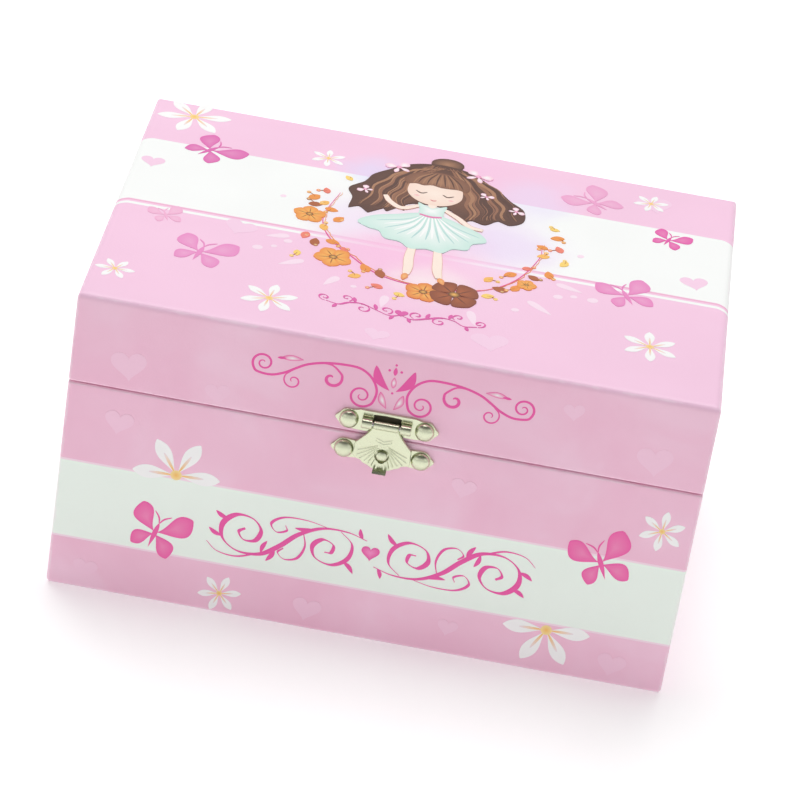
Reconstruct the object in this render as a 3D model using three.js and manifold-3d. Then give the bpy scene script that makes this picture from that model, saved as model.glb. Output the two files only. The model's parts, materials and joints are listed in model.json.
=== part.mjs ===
// A musical jewellery box: a paper-wrapped board box with a hinged lid, a mirror, a spring latch,
// lined compartments, and a clockwork movement that turns a small ballerina on a coil spring.
//
// Units are millimetres. +X is to the right, +Y is to the back and +Z is up. The origin is the
// centre of the underside, on the surface that the box stands on. The lid is shut, so the
// ballerina lies folded forward on its spring under the mirror.

import * as THREE from "three";
import { mergeVertices } from "three/addons/utils/BufferGeometryUtils.js";
import Module from "manifold-3d";

const wasm = await Module();
wasm.setup();

// ---------------------------------------------------------------- driving dimensions

const WIDTH = 150;
const DEPTH = 108;
const HEIGHT = 80;
const PARTING = 56.5; // height of the joint between box and lid
const PARTING_GAP = 0.25; // the paper-covered rims don't quite meet

const PAPER = 0.5; // printed wrap with its glue
const BOARD = 3.5; // wall board
const LINING = 0.5; // flocked card inside

const KEY_HOLE_RADIUS = 3.5;
const NAIL_HOLE_RADIUS = 0.75;

// Partitions and the raised stage at the back.
const PARTITION = 2;
const SIDE_BOARD = 1.5;
const STAGE_TOP = 46;
const STAGE_FRONT = 19; // y of the long divider's front face
const STAGE_HALF_WIDTH = 42.5;
const CROSS_DIVIDER_X = -11;
const CROSS_DIVIDER_TOP = 44;
const RING_ROLL_COUNT = 5;
const RING_ROLL_TOP = 31;
const RING_ROLL_GAP = 0.5;

// Lid fittings.
const FRAME_THICKNESS = 2.5;
const MIRROR = { width: 108, depth: 74, thickness: 1.5 };
const MIRROR_REVEAL = 2; // how far the frame laps over the glass
const MIRROR_PLAY = 0.5;

// Back hinges: two butt hinges whose tabs meet when the lid is fully open.
const HINGE = { x: 45, width: 16, leafHeight: 8.5, leafThickness: 0.75, knuckle: 1.3, pin: 0.5 };
const HINGE_AXIS = { y: 55.5, z: PARTING };
const HINGE_MIDDLE = 2.75; // half length of the lid leaf's knuckle
const HINGE_TAB = { inner: 1.45, outer: 3, thickness: 0.8, lidAngle: 58, baseAngle: -78 };

// Front latch: plates nailed to lid and box, and a fan-shaped flap on a pin.
const LATCH_SHEET = 0.625;
const LATCH_AXIS = { y: -DEPTH / 2 - 1.75, z: PARTING + 4.1 };
const LATCH_PIN_RADIUS = 0.45;
const LATCH_NAIL = { head: 2.1, crown: 1.35, shank: 0.5, length: 3.5 };
const LATCH_UPPER_NAIL = { x: 8.9, z: PARTING + 3.9 };
const LATCH_LOWER_NAIL = { x: 9.1, z: PARTING - 4.1 };
const LATCH_BUTTON = { radius: 1.3, z: PARTING - 4 };

// Clockwork. All axes cross or stand on the plane y = TRAIN_Y.
const TRAIN_Y = 29.5;
const BARREL = { x: 0, z: 22, radius: 12.5, wall: 0.75, front: 36, back: 46.25 };
const BEDPLATE = { left: -15.5, right: 38.75, bottom: 5, top: 42, front: 46.5, back: 49.5 };
const ARBOR_RADIUS = 1.75;
const PRESSURE_ANGLE = THREE.MathUtils.degToRad(25);
const TOOTH_SHARE = 0.38; // tooth thickness as a share of the pitch, so that the train runs freely
const CROWN = { teeth: 36, pinionTeeth: 12, module: 2 / 3, inner: 11, outer: 13 };
const DRUM_GEAR = { teeth: 30, pinionTeeth: 10, module: 13 / 30, from: 30.25, to: 31.5 };
const WORM_WHEEL = { teeth: 20, module: 0.5, from: 34.6, to: 35.9 };
const WORM = { x: 35.25, pitchRadius: 1.8, turns: 4 };
const DRUM = { from: 16.25, to: 29.75, radius: 6, pin: 0.6 };
const COMB_TEETH = 18;
const SHAFT_RADIUS = 0.75;

// Ballerina, spring and stop plunger.
const SPINDLE_RADIUS = 1;
const FOLD = { y: TRAIN_Y, z: 57 }; // where the spring bends
const BEND_RADIUS = 7; // centreline of the spring while the doll lies folded
const SPRING = { turns: 8, coil: 2.1, wire: 0.35 };
const TOE = 10.5; // doll's toe above the fold point, along its own axis
const TUTU = { waist: 31.5, radius: 12.5 };
const PLUNGER = { x: WORM.x, y: 44.5, radius: 0.75, top: 57.75 };

// ---------------------------------------------------------------- finishes

const finish = (color, roughness, metalness = 0) =>
  new THREE.MeshStandardMaterial({ color, roughness, metalness });

const PRINTED_PAPER = finish(0xf7c6e0, 0.45);
const PLAIN_PAPER = finish(0xf4e6ec, 0.7);
const FIBREBOARD = finish(0xb98f63, 0.85);
const VELVET = finish(0xee9cc4, 0.95);
const CUSHION = finish(0xf6c4dc, 0.95);
const SATIN = finish(0xf9dbe8, 0.4);
const MIRROR_GLASS = finish(0xdfe8ea, 0.05, 0.9);
const NICKEL = finish(0xd2d3c4, 0.25, 1);
const STEEL = finish(0xb9bcc0, 0.3, 1);
const BRASS = finish(0xc9a556, 0.3, 1);
const ZINC = finish(0xa7a9ac, 0.5, 1);
const SPRING_STEEL = finish(0x6c7076, 0.35, 1);
const WHITE_PLASTIC = finish(0xf3f1ee, 0.35);
const DOLL_PLASTIC = finish(0xf2cfb4, 0.4);
const TULLE = finish(0xf7e3ee, 0.9);

// ---------------------------------------------------------------- solid helpers

// A closed three.js geometry as a manifold-3d solid.
function toSolid(geometry) {
  const bare = geometry.index ? geometry.toNonIndexed() : geometry.clone();
  bare.deleteAttribute("normal");
  bare.deleteAttribute("uv");
  const merged = mergeVertices(bare, 1e-4);
  return new wasm.Manifold(
    new wasm.Mesh({
      numProp: 3,
      vertProperties: merged.attributes.position.array,
      triVerts: new Uint32Array(merged.index.array),
    }),
  );
}

function toGeometry(solid) {
  const mesh = solid.getMesh();
  return new THREE.BufferGeometry()
    .setAttribute("position", new THREE.BufferAttribute(mesh.vertProperties, 3))
    .setIndex(new THREE.BufferAttribute(mesh.triVerts, 1));
}

const join = (...geometries) => toGeometry(geometries.map(toSolid).reduce((a, b) => a.add(b)));

const cut = (geometry, ...tools) =>
  toGeometry(tools.map(toSolid).reduce((a, b) => a.subtract(b), toSolid(geometry)));

const span = ([from, to]) => ({ size: to - from, middle: (from + to) / 2 });

// A box given by its lowest and highest x, y and z.
function block(xs, ys, zs) {
  const [x, y, z] = [xs, ys, zs].map(span);
  return new THREE.BoxGeometry(x.size, y.size, z.size).translate(x.middle, y.middle, z.middle);
}

// These turn a shape drawn in XY and extruded along Z so that it is extruded along X or Y.
const ALONG_X = new THREE.Matrix4().set(0, 0, 1, 0, 1, 0, 0, 0, 0, 1, 0, 0, 0, 0, 0, 1);
const ALONG_Y = new THREE.Matrix4().set(0, 1, 0, 0, 0, 0, 1, 0, 1, 0, 0, 0, 0, 0, 0, 1);
const TURNS = { x: ALONG_X, y: ALONG_Y, z: new THREE.Matrix4() };

// A rod along axis "x", "y" or "z" from one coordinate to another, through the other two of centre.
function rod(axis, radius, [from, to], centre, sides = 16) {
  const { size, middle } = span([from, to]);
  const geometry = new THREE.CylinderGeometry(radius, radius, size, sides);
  geometry.rotateX(Math.PI / 2).applyMatrix4(TURNS[axis]);
  const place = new THREE.Vector3(centre.x ?? 0, centre.y ?? 0, centre.z ?? 0);
  place[axis] = middle;
  return geometry.translate(...place);
}

// A flat shape given thickness along an axis, from one coordinate to another.
function plate(axis, shape, [from, to], centre = {}) {
  const geometry = new THREE.ExtrudeGeometry(shape, { depth: to - from, bevelEnabled: false, curveSegments: 8 });
  geometry.applyMatrix4(TURNS[axis]);
  const place = new THREE.Vector3(centre.x ?? 0, centre.y ?? 0, centre.z ?? 0);
  place[axis] = from;
  return geometry.translate(...place);
}

// A sheet that faces the front: shape is drawn in (x, z) and reaches from y = back towards -Y.
function frontSheet(shape, back, thickness) {
  const geometry = new THREE.ExtrudeGeometry(shape, { depth: thickness, bevelEnabled: false, curveSegments: 6 });
  return geometry.rotateX(Math.PI / 2).translate(0, back, 0);
}

// A profile of [radius, height] points turned about +Z.
function turned(profile, segments = 24) {
  const points = profile.map(([radius, height]) => new THREE.Vector2(radius, height));
  return new THREE.LatheGeometry(points, segments).rotateX(Math.PI / 2);
}

const box = new THREE.Group();

function add(name, geometry, material, parent = box) {
  const mesh = new THREE.Mesh(geometry, material);
  mesh.name = name;
  parent.add(mesh);
  return mesh;
}

// ---------------------------------------------------------------- shell of boards, wraps and linings

const OUTER = { x: WIDTH / 2, y: DEPTH / 2 };
const BOARD_OUTER = { x: OUTER.x - PAPER, y: OUTER.y - PAPER };
const BOARD_INNER = { x: BOARD_OUTER.x - BOARD, y: BOARD_OUTER.y - BOARD };
const LINED = { x: BOARD_INNER.x - LINING, y: BOARD_INNER.y - LINING };
const BASE_RIM = PARTING - PARTING_GAP / 2;
const LID_RIM = PARTING + PARTING_GAP / 2;
const FLOOR = PAPER + BOARD + LINING;
const LID_CEILING = HEIGHT - PAPER - BOARD - LINING;

const wide = (half, zs) => block([-half.x, half.x], [-half.y, half.y], zs);

// Four wall boards: front and back run the full width, and the sides stand between them.
function wallBoards(prefix, zs, holes) {
  const sides = {
    front: block([-BOARD_OUTER.x, BOARD_OUTER.x], [-BOARD_OUTER.y, -BOARD_INNER.y], zs),
    back: block([-BOARD_OUTER.x, BOARD_OUTER.x], [BOARD_INNER.y, BOARD_OUTER.y], zs),
    left: block([-BOARD_OUTER.x, -BOARD_INNER.x], [-BOARD_INNER.y, BOARD_INNER.y], zs),
    right: block([BOARD_INNER.x, BOARD_OUTER.x], [-BOARD_INNER.y, BOARD_INNER.y], zs),
  };
  for (const [side, board] of Object.entries(sides)) {
    const drilled = holes[side] ? cut(board, ...holes[side]) : board;
    add(`${prefix}_${side}_board`, drilled, FIBREBOARD);
  }
}

const keyHole = (from, to) => rod("y", KEY_HOLE_RADIUS, [from, to], BARREL);

const nailHoles = ({ x, z }) =>
  [-x, x].map((at) => rod("y", NAIL_HOLE_RADIUS, [-OUTER.y - 1, -BOARD_INNER.y - 0.25], { x: at, z }, 8));

// Box: boards, then the wrap outside with its turned-in rim, then the lining inside.
const FLOOR_BOARD = [PAPER, PAPER + BOARD];
wallBoards("base", [FLOOR_BOARD[1], BASE_RIM - PAPER], {
  front: nailHoles(LATCH_LOWER_NAIL),
  back: [keyHole(BOARD_INNER.y - 1, OUTER.y + 1)],
});
add("base_bottom_board", wide(BOARD_OUTER, FLOOR_BOARD), FIBREBOARD);
add("base_bottom_sheet", wide(BOARD_OUTER, [0, PAPER]), PLAIN_PAPER);
add(
  "base_wrap",
  cut(
    wide(OUTER, [PARTING_GAP, BASE_RIM]),
    wide(BOARD_OUTER, [-1, BASE_RIM - PAPER]),
    wide(BOARD_INNER, [0, HEIGHT]),
    ...nailHoles(LATCH_LOWER_NAIL),
    keyHole(BOARD_INNER.y, OUTER.y + 1),
  ),
  PRINTED_PAPER,
);
add(
  "base_lining",
  cut(
    wide(BOARD_INNER, [FLOOR_BOARD[1], BASE_RIM - PAPER]),
    wide(LINED, [FLOOR, HEIGHT]),
    keyHole(LINED.y - 1, BOARD_INNER.y + 1),
  ),
  VELVET,
);

// Lid: the same build upside down.
const TOP_BOARD = [HEIGHT - PAPER - BOARD, HEIGHT - PAPER];
wallBoards("lid", [LID_RIM + PAPER, TOP_BOARD[0]], { front: nailHoles(LATCH_UPPER_NAIL) });
add("lid_top_board", wide(BOARD_OUTER, TOP_BOARD), FIBREBOARD);
add(
  "lid_wrap",
  cut(
    wide(OUTER, [LID_RIM, HEIGHT]),
    wide(BOARD_OUTER, [LID_RIM + PAPER, HEIGHT - PAPER]),
    wide(BOARD_INNER, [0, LID_RIM + 1]),
    ...nailHoles(LATCH_UPPER_NAIL),
  ),
  PRINTED_PAPER,
);
add(
  "lid_lining",
  cut(wide(BOARD_INNER, [LID_RIM + PAPER, TOP_BOARD[0]]), wide(LINED, [0, LID_CEILING])),
  VELVET,
);

// Mirror in a padded frame on the lid's ceiling.
const FRAME_FACE = LID_CEILING - FRAME_THICKNESS;
const half = (size, play = 0) => ({ x: size.width / 2 + play, y: size.depth / 2 + play });
const FRAME_PLAY = 0.5;
add(
  "mirror_frame",
  cut(
    wide({ x: LINED.x - FRAME_PLAY, y: LINED.y - FRAME_PLAY }, [FRAME_FACE, LID_CEILING]),
    wide(half(MIRROR, -MIRROR_REVEAL), [0, HEIGHT]),
    wide(half(MIRROR, MIRROR_PLAY), [LID_CEILING - MIRROR.thickness - 0.125, HEIGHT]),
  ),
  SATIN,
);
add("mirror", wide(half(MIRROR), [LID_CEILING - MIRROR.thickness, LID_CEILING]), MIRROR_GLASS);

// Peg inside the lid that presses the stop plunger as the lid shuts.
const PEG_HALF = 3;
add(
  "stop_peg",
  block([PLUNGER.x - PEG_HALF, PLUNGER.x + PEG_HALF], [PLUNGER.y - 2, LINED.y], [PLUNGER.top + 0.25, FRAME_FACE]),
  WHITE_PLASTIC,
);

// ---------------------------------------------------------------- compartments

const STAGE_BACK = STAGE_FRONT + PARTITION;
const STAGE_UNDER = STAGE_TOP - PARTITION;
add("stage_divider", block([-LINED.x, LINED.x], [STAGE_FRONT, STAGE_BACK], [FLOOR, STAGE_TOP]), VELVET);
const STAGE_SIDES = {
  left: [-STAGE_HALF_WIDTH, -STAGE_HALF_WIDTH + SIDE_BOARD],
  right: [STAGE_HALF_WIDTH - SIDE_BOARD, STAGE_HALF_WIDTH],
};
for (const [side, xs] of Object.entries(STAGE_SIDES))
  add(`stage_${side}_side`, block(xs, [STAGE_BACK, LINED.y], [FLOOR, STAGE_UNDER]), VELVET);
add(
  "stage_deck",
  cut(
    block([-STAGE_HALF_WIDTH, STAGE_HALF_WIDTH], [STAGE_BACK, LINED.y], [STAGE_UNDER, STAGE_TOP]),
    rod("z", SPINDLE_RADIUS + 1.5, [0, HEIGHT], { x: 0, y: TRAIN_Y }),
    rod("z", PLUNGER.radius + 0.5, [0, HEIGHT], PLUNGER, 12),
  ),
  VELVET,
);
add(
  "cross_divider",
  block([CROSS_DIVIDER_X, CROSS_DIVIDER_X + PARTITION], [-LINED.y, STAGE_FRONT], [FLOOR, CROSS_DIVIDER_TOP]),
  VELVET,
);

// Foam rolls, side by side: a ring is pushed into the crease between two of them.
const ROLL_PITCH = (STAGE_FRONT + LINED.y) / RING_ROLL_COUNT;
for (let i = 0; i < RING_ROLL_COUNT; i++) {
  const front = -LINED.y + i * ROLL_PITCH;
  const [near, far] = [front + RING_ROLL_GAP / 2, front + ROLL_PITCH - RING_ROLL_GAP / 2];
  const radius = (far - near) / 2;
  const section = new THREE.Shape([new THREE.Vector2(near, FLOOR), new THREE.Vector2(far, FLOOR)]);
  section.absarc((near + far) / 2, RING_ROLL_TOP - radius, radius, 0, Math.PI);
  const ends = [-LINED.x + RING_ROLL_GAP, CROSS_DIVIDER_X - RING_ROLL_GAP];
  add(`ring_roll_${i + 1}`, plate("x", section, ends), CUSHION);
}

// ---------------------------------------------------------------- back hinges

// A tab on a hinge leaf: a thin plate that stands out from the pin axis at an angle above +Y.
function hingeTab(angle, [from, to], centreX) {
  const { size, middle } = span([HINGE_TAB.inner - 0.3, HINGE_TAB.outer]);
  const tab = new THREE.BoxGeometry(to - from, size, HINGE_TAB.thickness);
  tab.translate(centreX + (from + to) / 2, middle, 0);
  return tab.rotateX(THREE.MathUtils.degToRad(angle)).translate(0, HINGE_AXIS.y, HINGE_AXIS.z);
}

const knuckle = (x, [from, to]) => rod("x", HINGE.knuckle, [x + from, x + to], HINGE_AXIS);
const knuckleBore = (x) => rod("x", HINGE.pin + 0.1, [x - HINGE.width, x + HINGE.width], HINGE_AXIS, 12);

function hinge(side, x) {
  const halfWidth = HINGE.width / 2;
  const leafYs = [OUTER.y, OUTER.y + HINGE.leafThickness];
  const leafXs = [x - halfWidth, x + halfWidth];
  const knuckleGap = 0.25;
  const outerKnuckle = [HINGE_MIDDLE + knuckleGap, halfWidth];
  const clearOfKnuckles = HINGE.knuckle + knuckleGap;
  const room = ([from, to]) =>
    block([x + from, x + to], [OUTER.y - 1, OUTER.y + 4], [PARTING - clearOfKnuckles, PARTING + clearOfKnuckles]);

  const baseLeaf = block(leafXs, leafYs, [PARTING - HINGE.leafHeight, PARTING]);
  const baseParts = [-1, 1].map((s) => outerKnuckle.map((v) => s * v).sort((a, b) => a - b));
  add(
    `hinge_${side}_base_leaf`,
    cut(
      join(
        cut(baseLeaf, room([-HINGE_MIDDLE - knuckleGap, HINGE_MIDDLE + knuckleGap])),
        ...baseParts.map((part) => knuckle(x, part)),
        ...baseParts.map((part) => hingeTab(HINGE_TAB.baseAngle, part, x)),
      ),
      knuckleBore(x),
    ),
    NICKEL,
  );

  const lidLeaf = block(leafXs, leafYs, [PARTING, PARTING + HINGE.leafHeight]);
  const lidTab = cut(
    hingeTab(HINGE_TAB.lidAngle, [-halfWidth + 1, halfWidth - 1], x),
    ...baseParts.map(([from, to]) =>
      rod("x", HINGE_TAB.inner, [x + from - knuckleGap, x + to + knuckleGap], HINGE_AXIS),
    ),
  );
  add(
    `hinge_${side}_lid_leaf`,
    cut(
      join(
        cut(lidLeaf, ...baseParts.map((part) => room([part[0] - knuckleGap, part[1] + knuckleGap]))),
        knuckle(x, [-HINGE_MIDDLE, HINGE_MIDDLE]),
        lidTab,
      ),
      knuckleBore(x),
    ),
    NICKEL,
  );
  add(`hinge_${side}_pin`, rod("x", HINGE.pin, [x - halfWidth, x + halfWidth], HINGE_AXIS, 12), STEEL);
}

hinge("left", -HINGE.x);
hinge("right", HINGE.x);

// ---------------------------------------------------------------- front latch

const mirrored = (points) => [...points, ...points.map(([x, z]) => [-x, z]).reverse()];
const toShape = (points) => new THREE.Shape(points.map(([x, z]) => new THREE.Vector2(x, PARTING + z)));

// Outline of a nailed plate: a bar with a round lobe under each nail and a pointed tip beyond it.
function nailedPlate(nail, tip, top, bottom) {
  const z = nail.z - PARTING;
  const lobe = [60, 30, 0, -30, -60].map((degrees) => {
    const angle = THREE.MathUtils.degToRad(degrees);
    const reach = degrees === 0 ? tip - nail.x : 2.6;
    return [nail.x + reach * Math.cos(angle), z + reach * Math.sin(angle)];
  });
  return toShape(mirrored([[nail.x - 2.2, top], ...lobe, [nail.x - 2.2, bottom]]));
}

const plateHole = ({ x, z }, side) => rod("y", NAIL_HOLE_RADIUS, [-OUTER.y - 2, -OUTER.y + 1], { x: side * x, z }, 8);

// Lid plate, with a curled knuckle each side of the flap.
const FLAP_HALF = 3;
const KNUCKLE_XS = [FLAP_HALF + 0.25, 5.75];
const latchKnuckles = [-1, 1].map((s) => {
  const xs = KNUCKLE_XS.map((x) => s * x).sort((a, b) => a - b);
  return rod("x", 1.2, xs, LATCH_AXIS, 12);
});
const latchBore = rod("x", LATCH_PIN_RADIUS + 0.1, [-10, 10], LATCH_AXIS, 10);
add(
  "latch_lid_plate",
  cut(
    join(frontSheet(nailedPlate(LATCH_UPPER_NAIL, 12.2, 6.75, 1.25), -OUTER.y, LATCH_SHEET), ...latchKnuckles),
    latchBore,
    plateHole(LATCH_UPPER_NAIL, -1),
    plateHole(LATCH_UPPER_NAIL, 1),
  ),
  NICKEL,
);
add("latch_pin", rod("x", LATCH_PIN_RADIUS, [-KNUCKLE_XS[1], KNUCKLE_XS[1]], LATCH_AXIS, 10), STEEL);

// Fan-shaped flap: rolled round the pin at the top, a hole for the button, and a lip to lift it by.
const FLAP_GAP = 0.375;
const FLAP_BACK = -OUTER.y - LATCH_SHEET - FLAP_GAP;
const FLAP_OUTLINE = mirrored([
  [3, 4.1],
  [3, 3.2],
  [3.7, 2.1],
  [4.9, 0.5],
  [6.5, -1.4],
  [6.7, -3.4],
  [6.5, -5.5],
  [5, -6],
  [3.4, -6.8],
  [1.9, -7.9],
]);
const flapLip = block([-1.6, 1.6], [FLAP_BACK - 2, FLAP_BACK - 0.1], [PARTING - 8.1, PARTING - 7.5]);
add(
  "latch_flap",
  cut(
    join(
      frontSheet(toShape(FLAP_OUTLINE), FLAP_BACK, LATCH_SHEET),
      rod("x", 1, [-FLAP_HALF, FLAP_HALF], LATCH_AXIS, 12),
      flapLip,
    ),
    latchBore,
    rod("y", LATCH_BUTTON.radius + 0.4, [FLAP_BACK - 2, FLAP_BACK + 1], LATCH_BUTTON, 12),
  ),
  NICKEL,
);

// Box plate, with the round button that the flap snaps over.
const buttonProfile = [
  [0, 0],
  [LATCH_BUTTON.radius, 0],
  [LATCH_BUTTON.radius, 1.5],
  [LATCH_BUTTON.radius * 0.7, 2.1],
  [0, 2.3],
];
const towardsFront = (geometry, { x = 0, z }, y) => geometry.rotateX(Math.PI / 2).translate(x, y, z);
add(
  "latch_box_plate",
  cut(
    join(
      frontSheet(nailedPlate(LATCH_LOWER_NAIL, 12.3, -1.5, -6.4), -OUTER.y, LATCH_SHEET),
      towardsFront(turned(buttonProfile, 12), LATCH_BUTTON, -OUTER.y - 0.25),
    ),
    plateHole(LATCH_LOWER_NAIL, -1),
    plateHole(LATCH_LOWER_NAIL, 1),
  ),
  NICKEL,
);

// Dome-headed nails.
const nailProfile = [
  [0, -LATCH_NAIL.length],
  [LATCH_NAIL.shank, -LATCH_NAIL.length + 0.6],
  [LATCH_NAIL.shank, 0.125],
  [LATCH_NAIL.head, 0.125],
  [LATCH_NAIL.head * 0.87, LATCH_NAIL.crown * 0.6],
  [LATCH_NAIL.head * 0.5, LATCH_NAIL.crown],
  [0, LATCH_NAIL.crown + 0.2],
];
const NAILS = { lid: LATCH_UPPER_NAIL, box: LATCH_LOWER_NAIL };
for (const [where, nail] of Object.entries(NAILS))
  for (const [side, sign] of [["left", -1], ["right", 1]]) {
    const place = { x: sign * nail.x, z: nail.z };
    const shape = towardsFront(turned(nailProfile, 12), place, -OUTER.y - LATCH_SHEET);
    add(`latch_${where}_nail_${side}`, shape, NICKEL);
  }

// ---------------------------------------------------------------- gear shapes

const involute = (roll) => Math.tan(roll) - roll;

// Outline of a spur gear with thin involute teeth. A tooth's middle points along the shape's +x,
// or half a pitch round from it.
function spurShape({ teeth, module, turn = 0, hole = 0, addendum = 0.75, dedendum = 0.95 }) {
  const pitch = (teeth * module) / 2;
  const baseRadius = pitch * Math.cos(PRESSURE_ANGLE);
  const [tip, root] = [pitch + addendum * module, pitch - dedendum * module];
  const halfThickness = (Math.PI * 2 * TOOTH_SHARE) / (2 * teeth);
  const flankAngle = (radius) => {
    const roll = Math.acos(Math.min(1, baseRadius / Math.max(radius, baseRadius)));
    return halfThickness + involute(PRESSURE_ANGLE) - involute(roll);
  };
  const radii = [root, Math.max(root + 0.01, baseRadius), pitch, tip];
  const points = [];
  for (let i = 0; i < teeth; i++) {
    const centre = ((i + turn) / teeth) * 2 * Math.PI;
    const side = radii.map((r) => [r, flankAngle(r)]);
    for (const [r, angle] of side) points.push([r, centre - angle]);
    for (const [r, angle] of side.reverse()) points.push([r, centre + angle]);
  }
  const shape = new THREE.Shape(points.map(([r, a]) => new THREE.Vector2(r * Math.cos(a), r * Math.sin(a))));
  if (hole) shape.holes.push(new THREE.Path().absarc(0, 0, hole, 0, Math.PI * 2, true));
  return shape;
}

// A rack-like tooth: narrower at its tip, drawn as [across, height] from the pitch line.
function rackTooth(pitch, addendum, dedendum) {
  const halfWidth = (pitch * TOOTH_SHARE) / 2;
  const lean = Math.tan(PRESSURE_ANGLE);
  return [
    [-halfWidth - dedendum * lean, -dedendum],
    [halfWidth + dedendum * lean, -dedendum],
    [halfWidth - addendum * lean, addendum],
    [-halfWidth + addendum * lean, addendum],
  ];
}

// ---------------------------------------------------------------- clockwork movement

const shaftX = (radius, xs, centre, sides = 12) => rod("x", radius, xs, centre, sides);
const DRUM_AXIS = { y: TRAIN_Y, z: BARREL.z };
const SECOND_AXIS = {
  y: TRAIN_Y,
  z: BARREL.z + ((DRUM_GEAR.teeth + DRUM_GEAR.pinionTeeth) * DRUM_GEAR.module) / 2,
};
const CROWN_PITCH_Y = TRAIN_Y + (CROWN.pinionTeeth * CROWN.module) / 2;
const COMB_ZS = [DRUM_AXIS.z + DRUM.radius + DRUM.pin + 0.3, 41];

// Cast bedplate on the back wall, with the shelf that carries the comb.
const shelf = block([DRUM.from - 0.5, DRUM.to + 0.5], [TRAIN_Y + 1.25, BEDPLATE.front + 0.5], [34, 41]);
add(
  "movement_bedplate",
  cut(
    join(
      block([BEDPLATE.left, BEDPLATE.right], [BEDPLATE.front, BEDPLATE.back], [BEDPLATE.bottom, BEDPLATE.top]),
      shelf,
    ),
    rod("y", ARBOR_RADIUS + 0.5, [40, 55], BARREL),
  ),
  ZINC,
);

// Spring barrel: a cup with its floor on the bedplate, and the coiled mainspring inside it.
add(
  "spring_barrel",
  cut(
    rod("y", BARREL.radius, [BARREL.front, BARREL.back], BARREL, 32),
    rod("y", BARREL.radius - BARREL.wall, [BARREL.front - 1, BARREL.back - BARREL.wall], BARREL, 32),
    rod("y", ARBOR_RADIUS + 0.5, [BARREL.front - 1, 55], BARREL),
  ),
  STEEL,
);

function mainspringShape() {
  const [inner, outer, strip, turns, steps] = [2.6, 10.8, 0.4, 5, 70];
  const edge = (offset) =>
    Array.from({ length: steps + 1 }, (_, i) => {
      const angle = (i / steps) * turns * 2 * Math.PI;
      const radius = inner + ((outer - inner) * i) / steps + offset;
      return new THREE.Vector2(radius * Math.cos(angle), radius * Math.sin(angle));
    });
  return new THREE.Shape([...edge(0), ...edge(strip).reverse()]);
}
add("mainspring", plate("y", mainspringShape(), [BARREL.front + 0.75, BARREL.back - 1.5], BARREL), SPRING_STEEL);

// Great wheel: face teeth round its front drive both the pin drum and the doll's spindle.
function crownTooth(index) {
  const pitch = Math.PI * CROWN.module;
  const outline = rackTooth(pitch, 0.5, 0.9).map(([across, height]) => new THREE.Vector2(across, height));
  const tooth = new THREE.ExtrudeGeometry(new THREE.Shape(outline), {
    depth: CROWN.outer - CROWN.inner,
    bevelEnabled: false,
  });
  tooth.rotateX(Math.PI).translate(0, CROWN_PITCH_Y, CROWN.outer); // its tip points to -Y
  return tooth.rotateY((index / CROWN.teeth) * 2 * Math.PI).translate(BARREL.x, 0, BARREL.z);
}
const CROWN_DISC = [CROWN_PITCH_Y + 0.75, CROWN_PITCH_Y + 2.25];
add(
  "great_wheel",
  cut(
    join(
      rod("y", CROWN.outer + 0.5, CROWN_DISC, BARREL, 36),
      ...Array.from({ length: CROWN.teeth }, (_, i) => crownTooth(i)),
    ),
    rod("y", ARBOR_RADIUS + 0.125, [0, 50], BARREL),
  ),
  BRASS,
);

// Winding arbor through barrel, bedplate and back wall, and the butterfly key on its end.
const KEY = { hub: 2.9, from: OUTER.y + 1, shoulder: OUTER.y + 6, end: OUTER.y + 15.5, sheet: 1.5 };
const ARBOR_END = KEY.shoulder - 0.5;
add(
  "winding_arbor",
  join(
    rod("y", ARBOR_RADIUS, [CROWN_DISC[0] - 0.5, ARBOR_END], BARREL),
    rod("y", ARBOR_RADIUS + 1, [CROWN_DISC[0] - 1, CROWN_DISC[0] - 0.125], BARREL),
  ),
  STEEL,
);

// Key wings, drawn as [x, y]: two round lobes that meet at the hub.
function keyWings() {
  const [lobe, centreX, centreY] = [4.6, 5.2, KEY.end - 4.6];
  const outline = new THREE.Shape();
  outline.moveTo(-KEY.hub + 0.4, KEY.shoulder - 1);
  outline.lineTo(KEY.hub - 0.4, KEY.shoulder - 1);
  outline.absarc(centreX, centreY, lobe, -Math.PI * 0.6, Math.PI * 0.75);
  outline.lineTo(0, KEY.end - 4);
  outline.absarc(-centreX, centreY, lobe, Math.PI * 0.25, Math.PI * 1.6);
  for (const x of [-centreX, centreX])
    outline.holes.push(new THREE.Path().absarc(x, centreY, lobe - 2.2, 0, Math.PI * 2, true));
  return outline;
}
const wings = new THREE.ExtrudeGeometry(keyWings(), { depth: KEY.sheet, bevelEnabled: false, curveSegments: 10 });
wings.translate(BARREL.x, 0, BARREL.z - KEY.sheet / 2);
add(
  "wind_key",
  cut(
    join(rod("y", KEY.hub, [KEY.from, KEY.shoulder + 0.5], BARREL), wings),
    rod("y", ARBOR_RADIUS + 0.1, [0, ARBOR_END + 0.1], BARREL),
  ),
  NICKEL,
);

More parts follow.
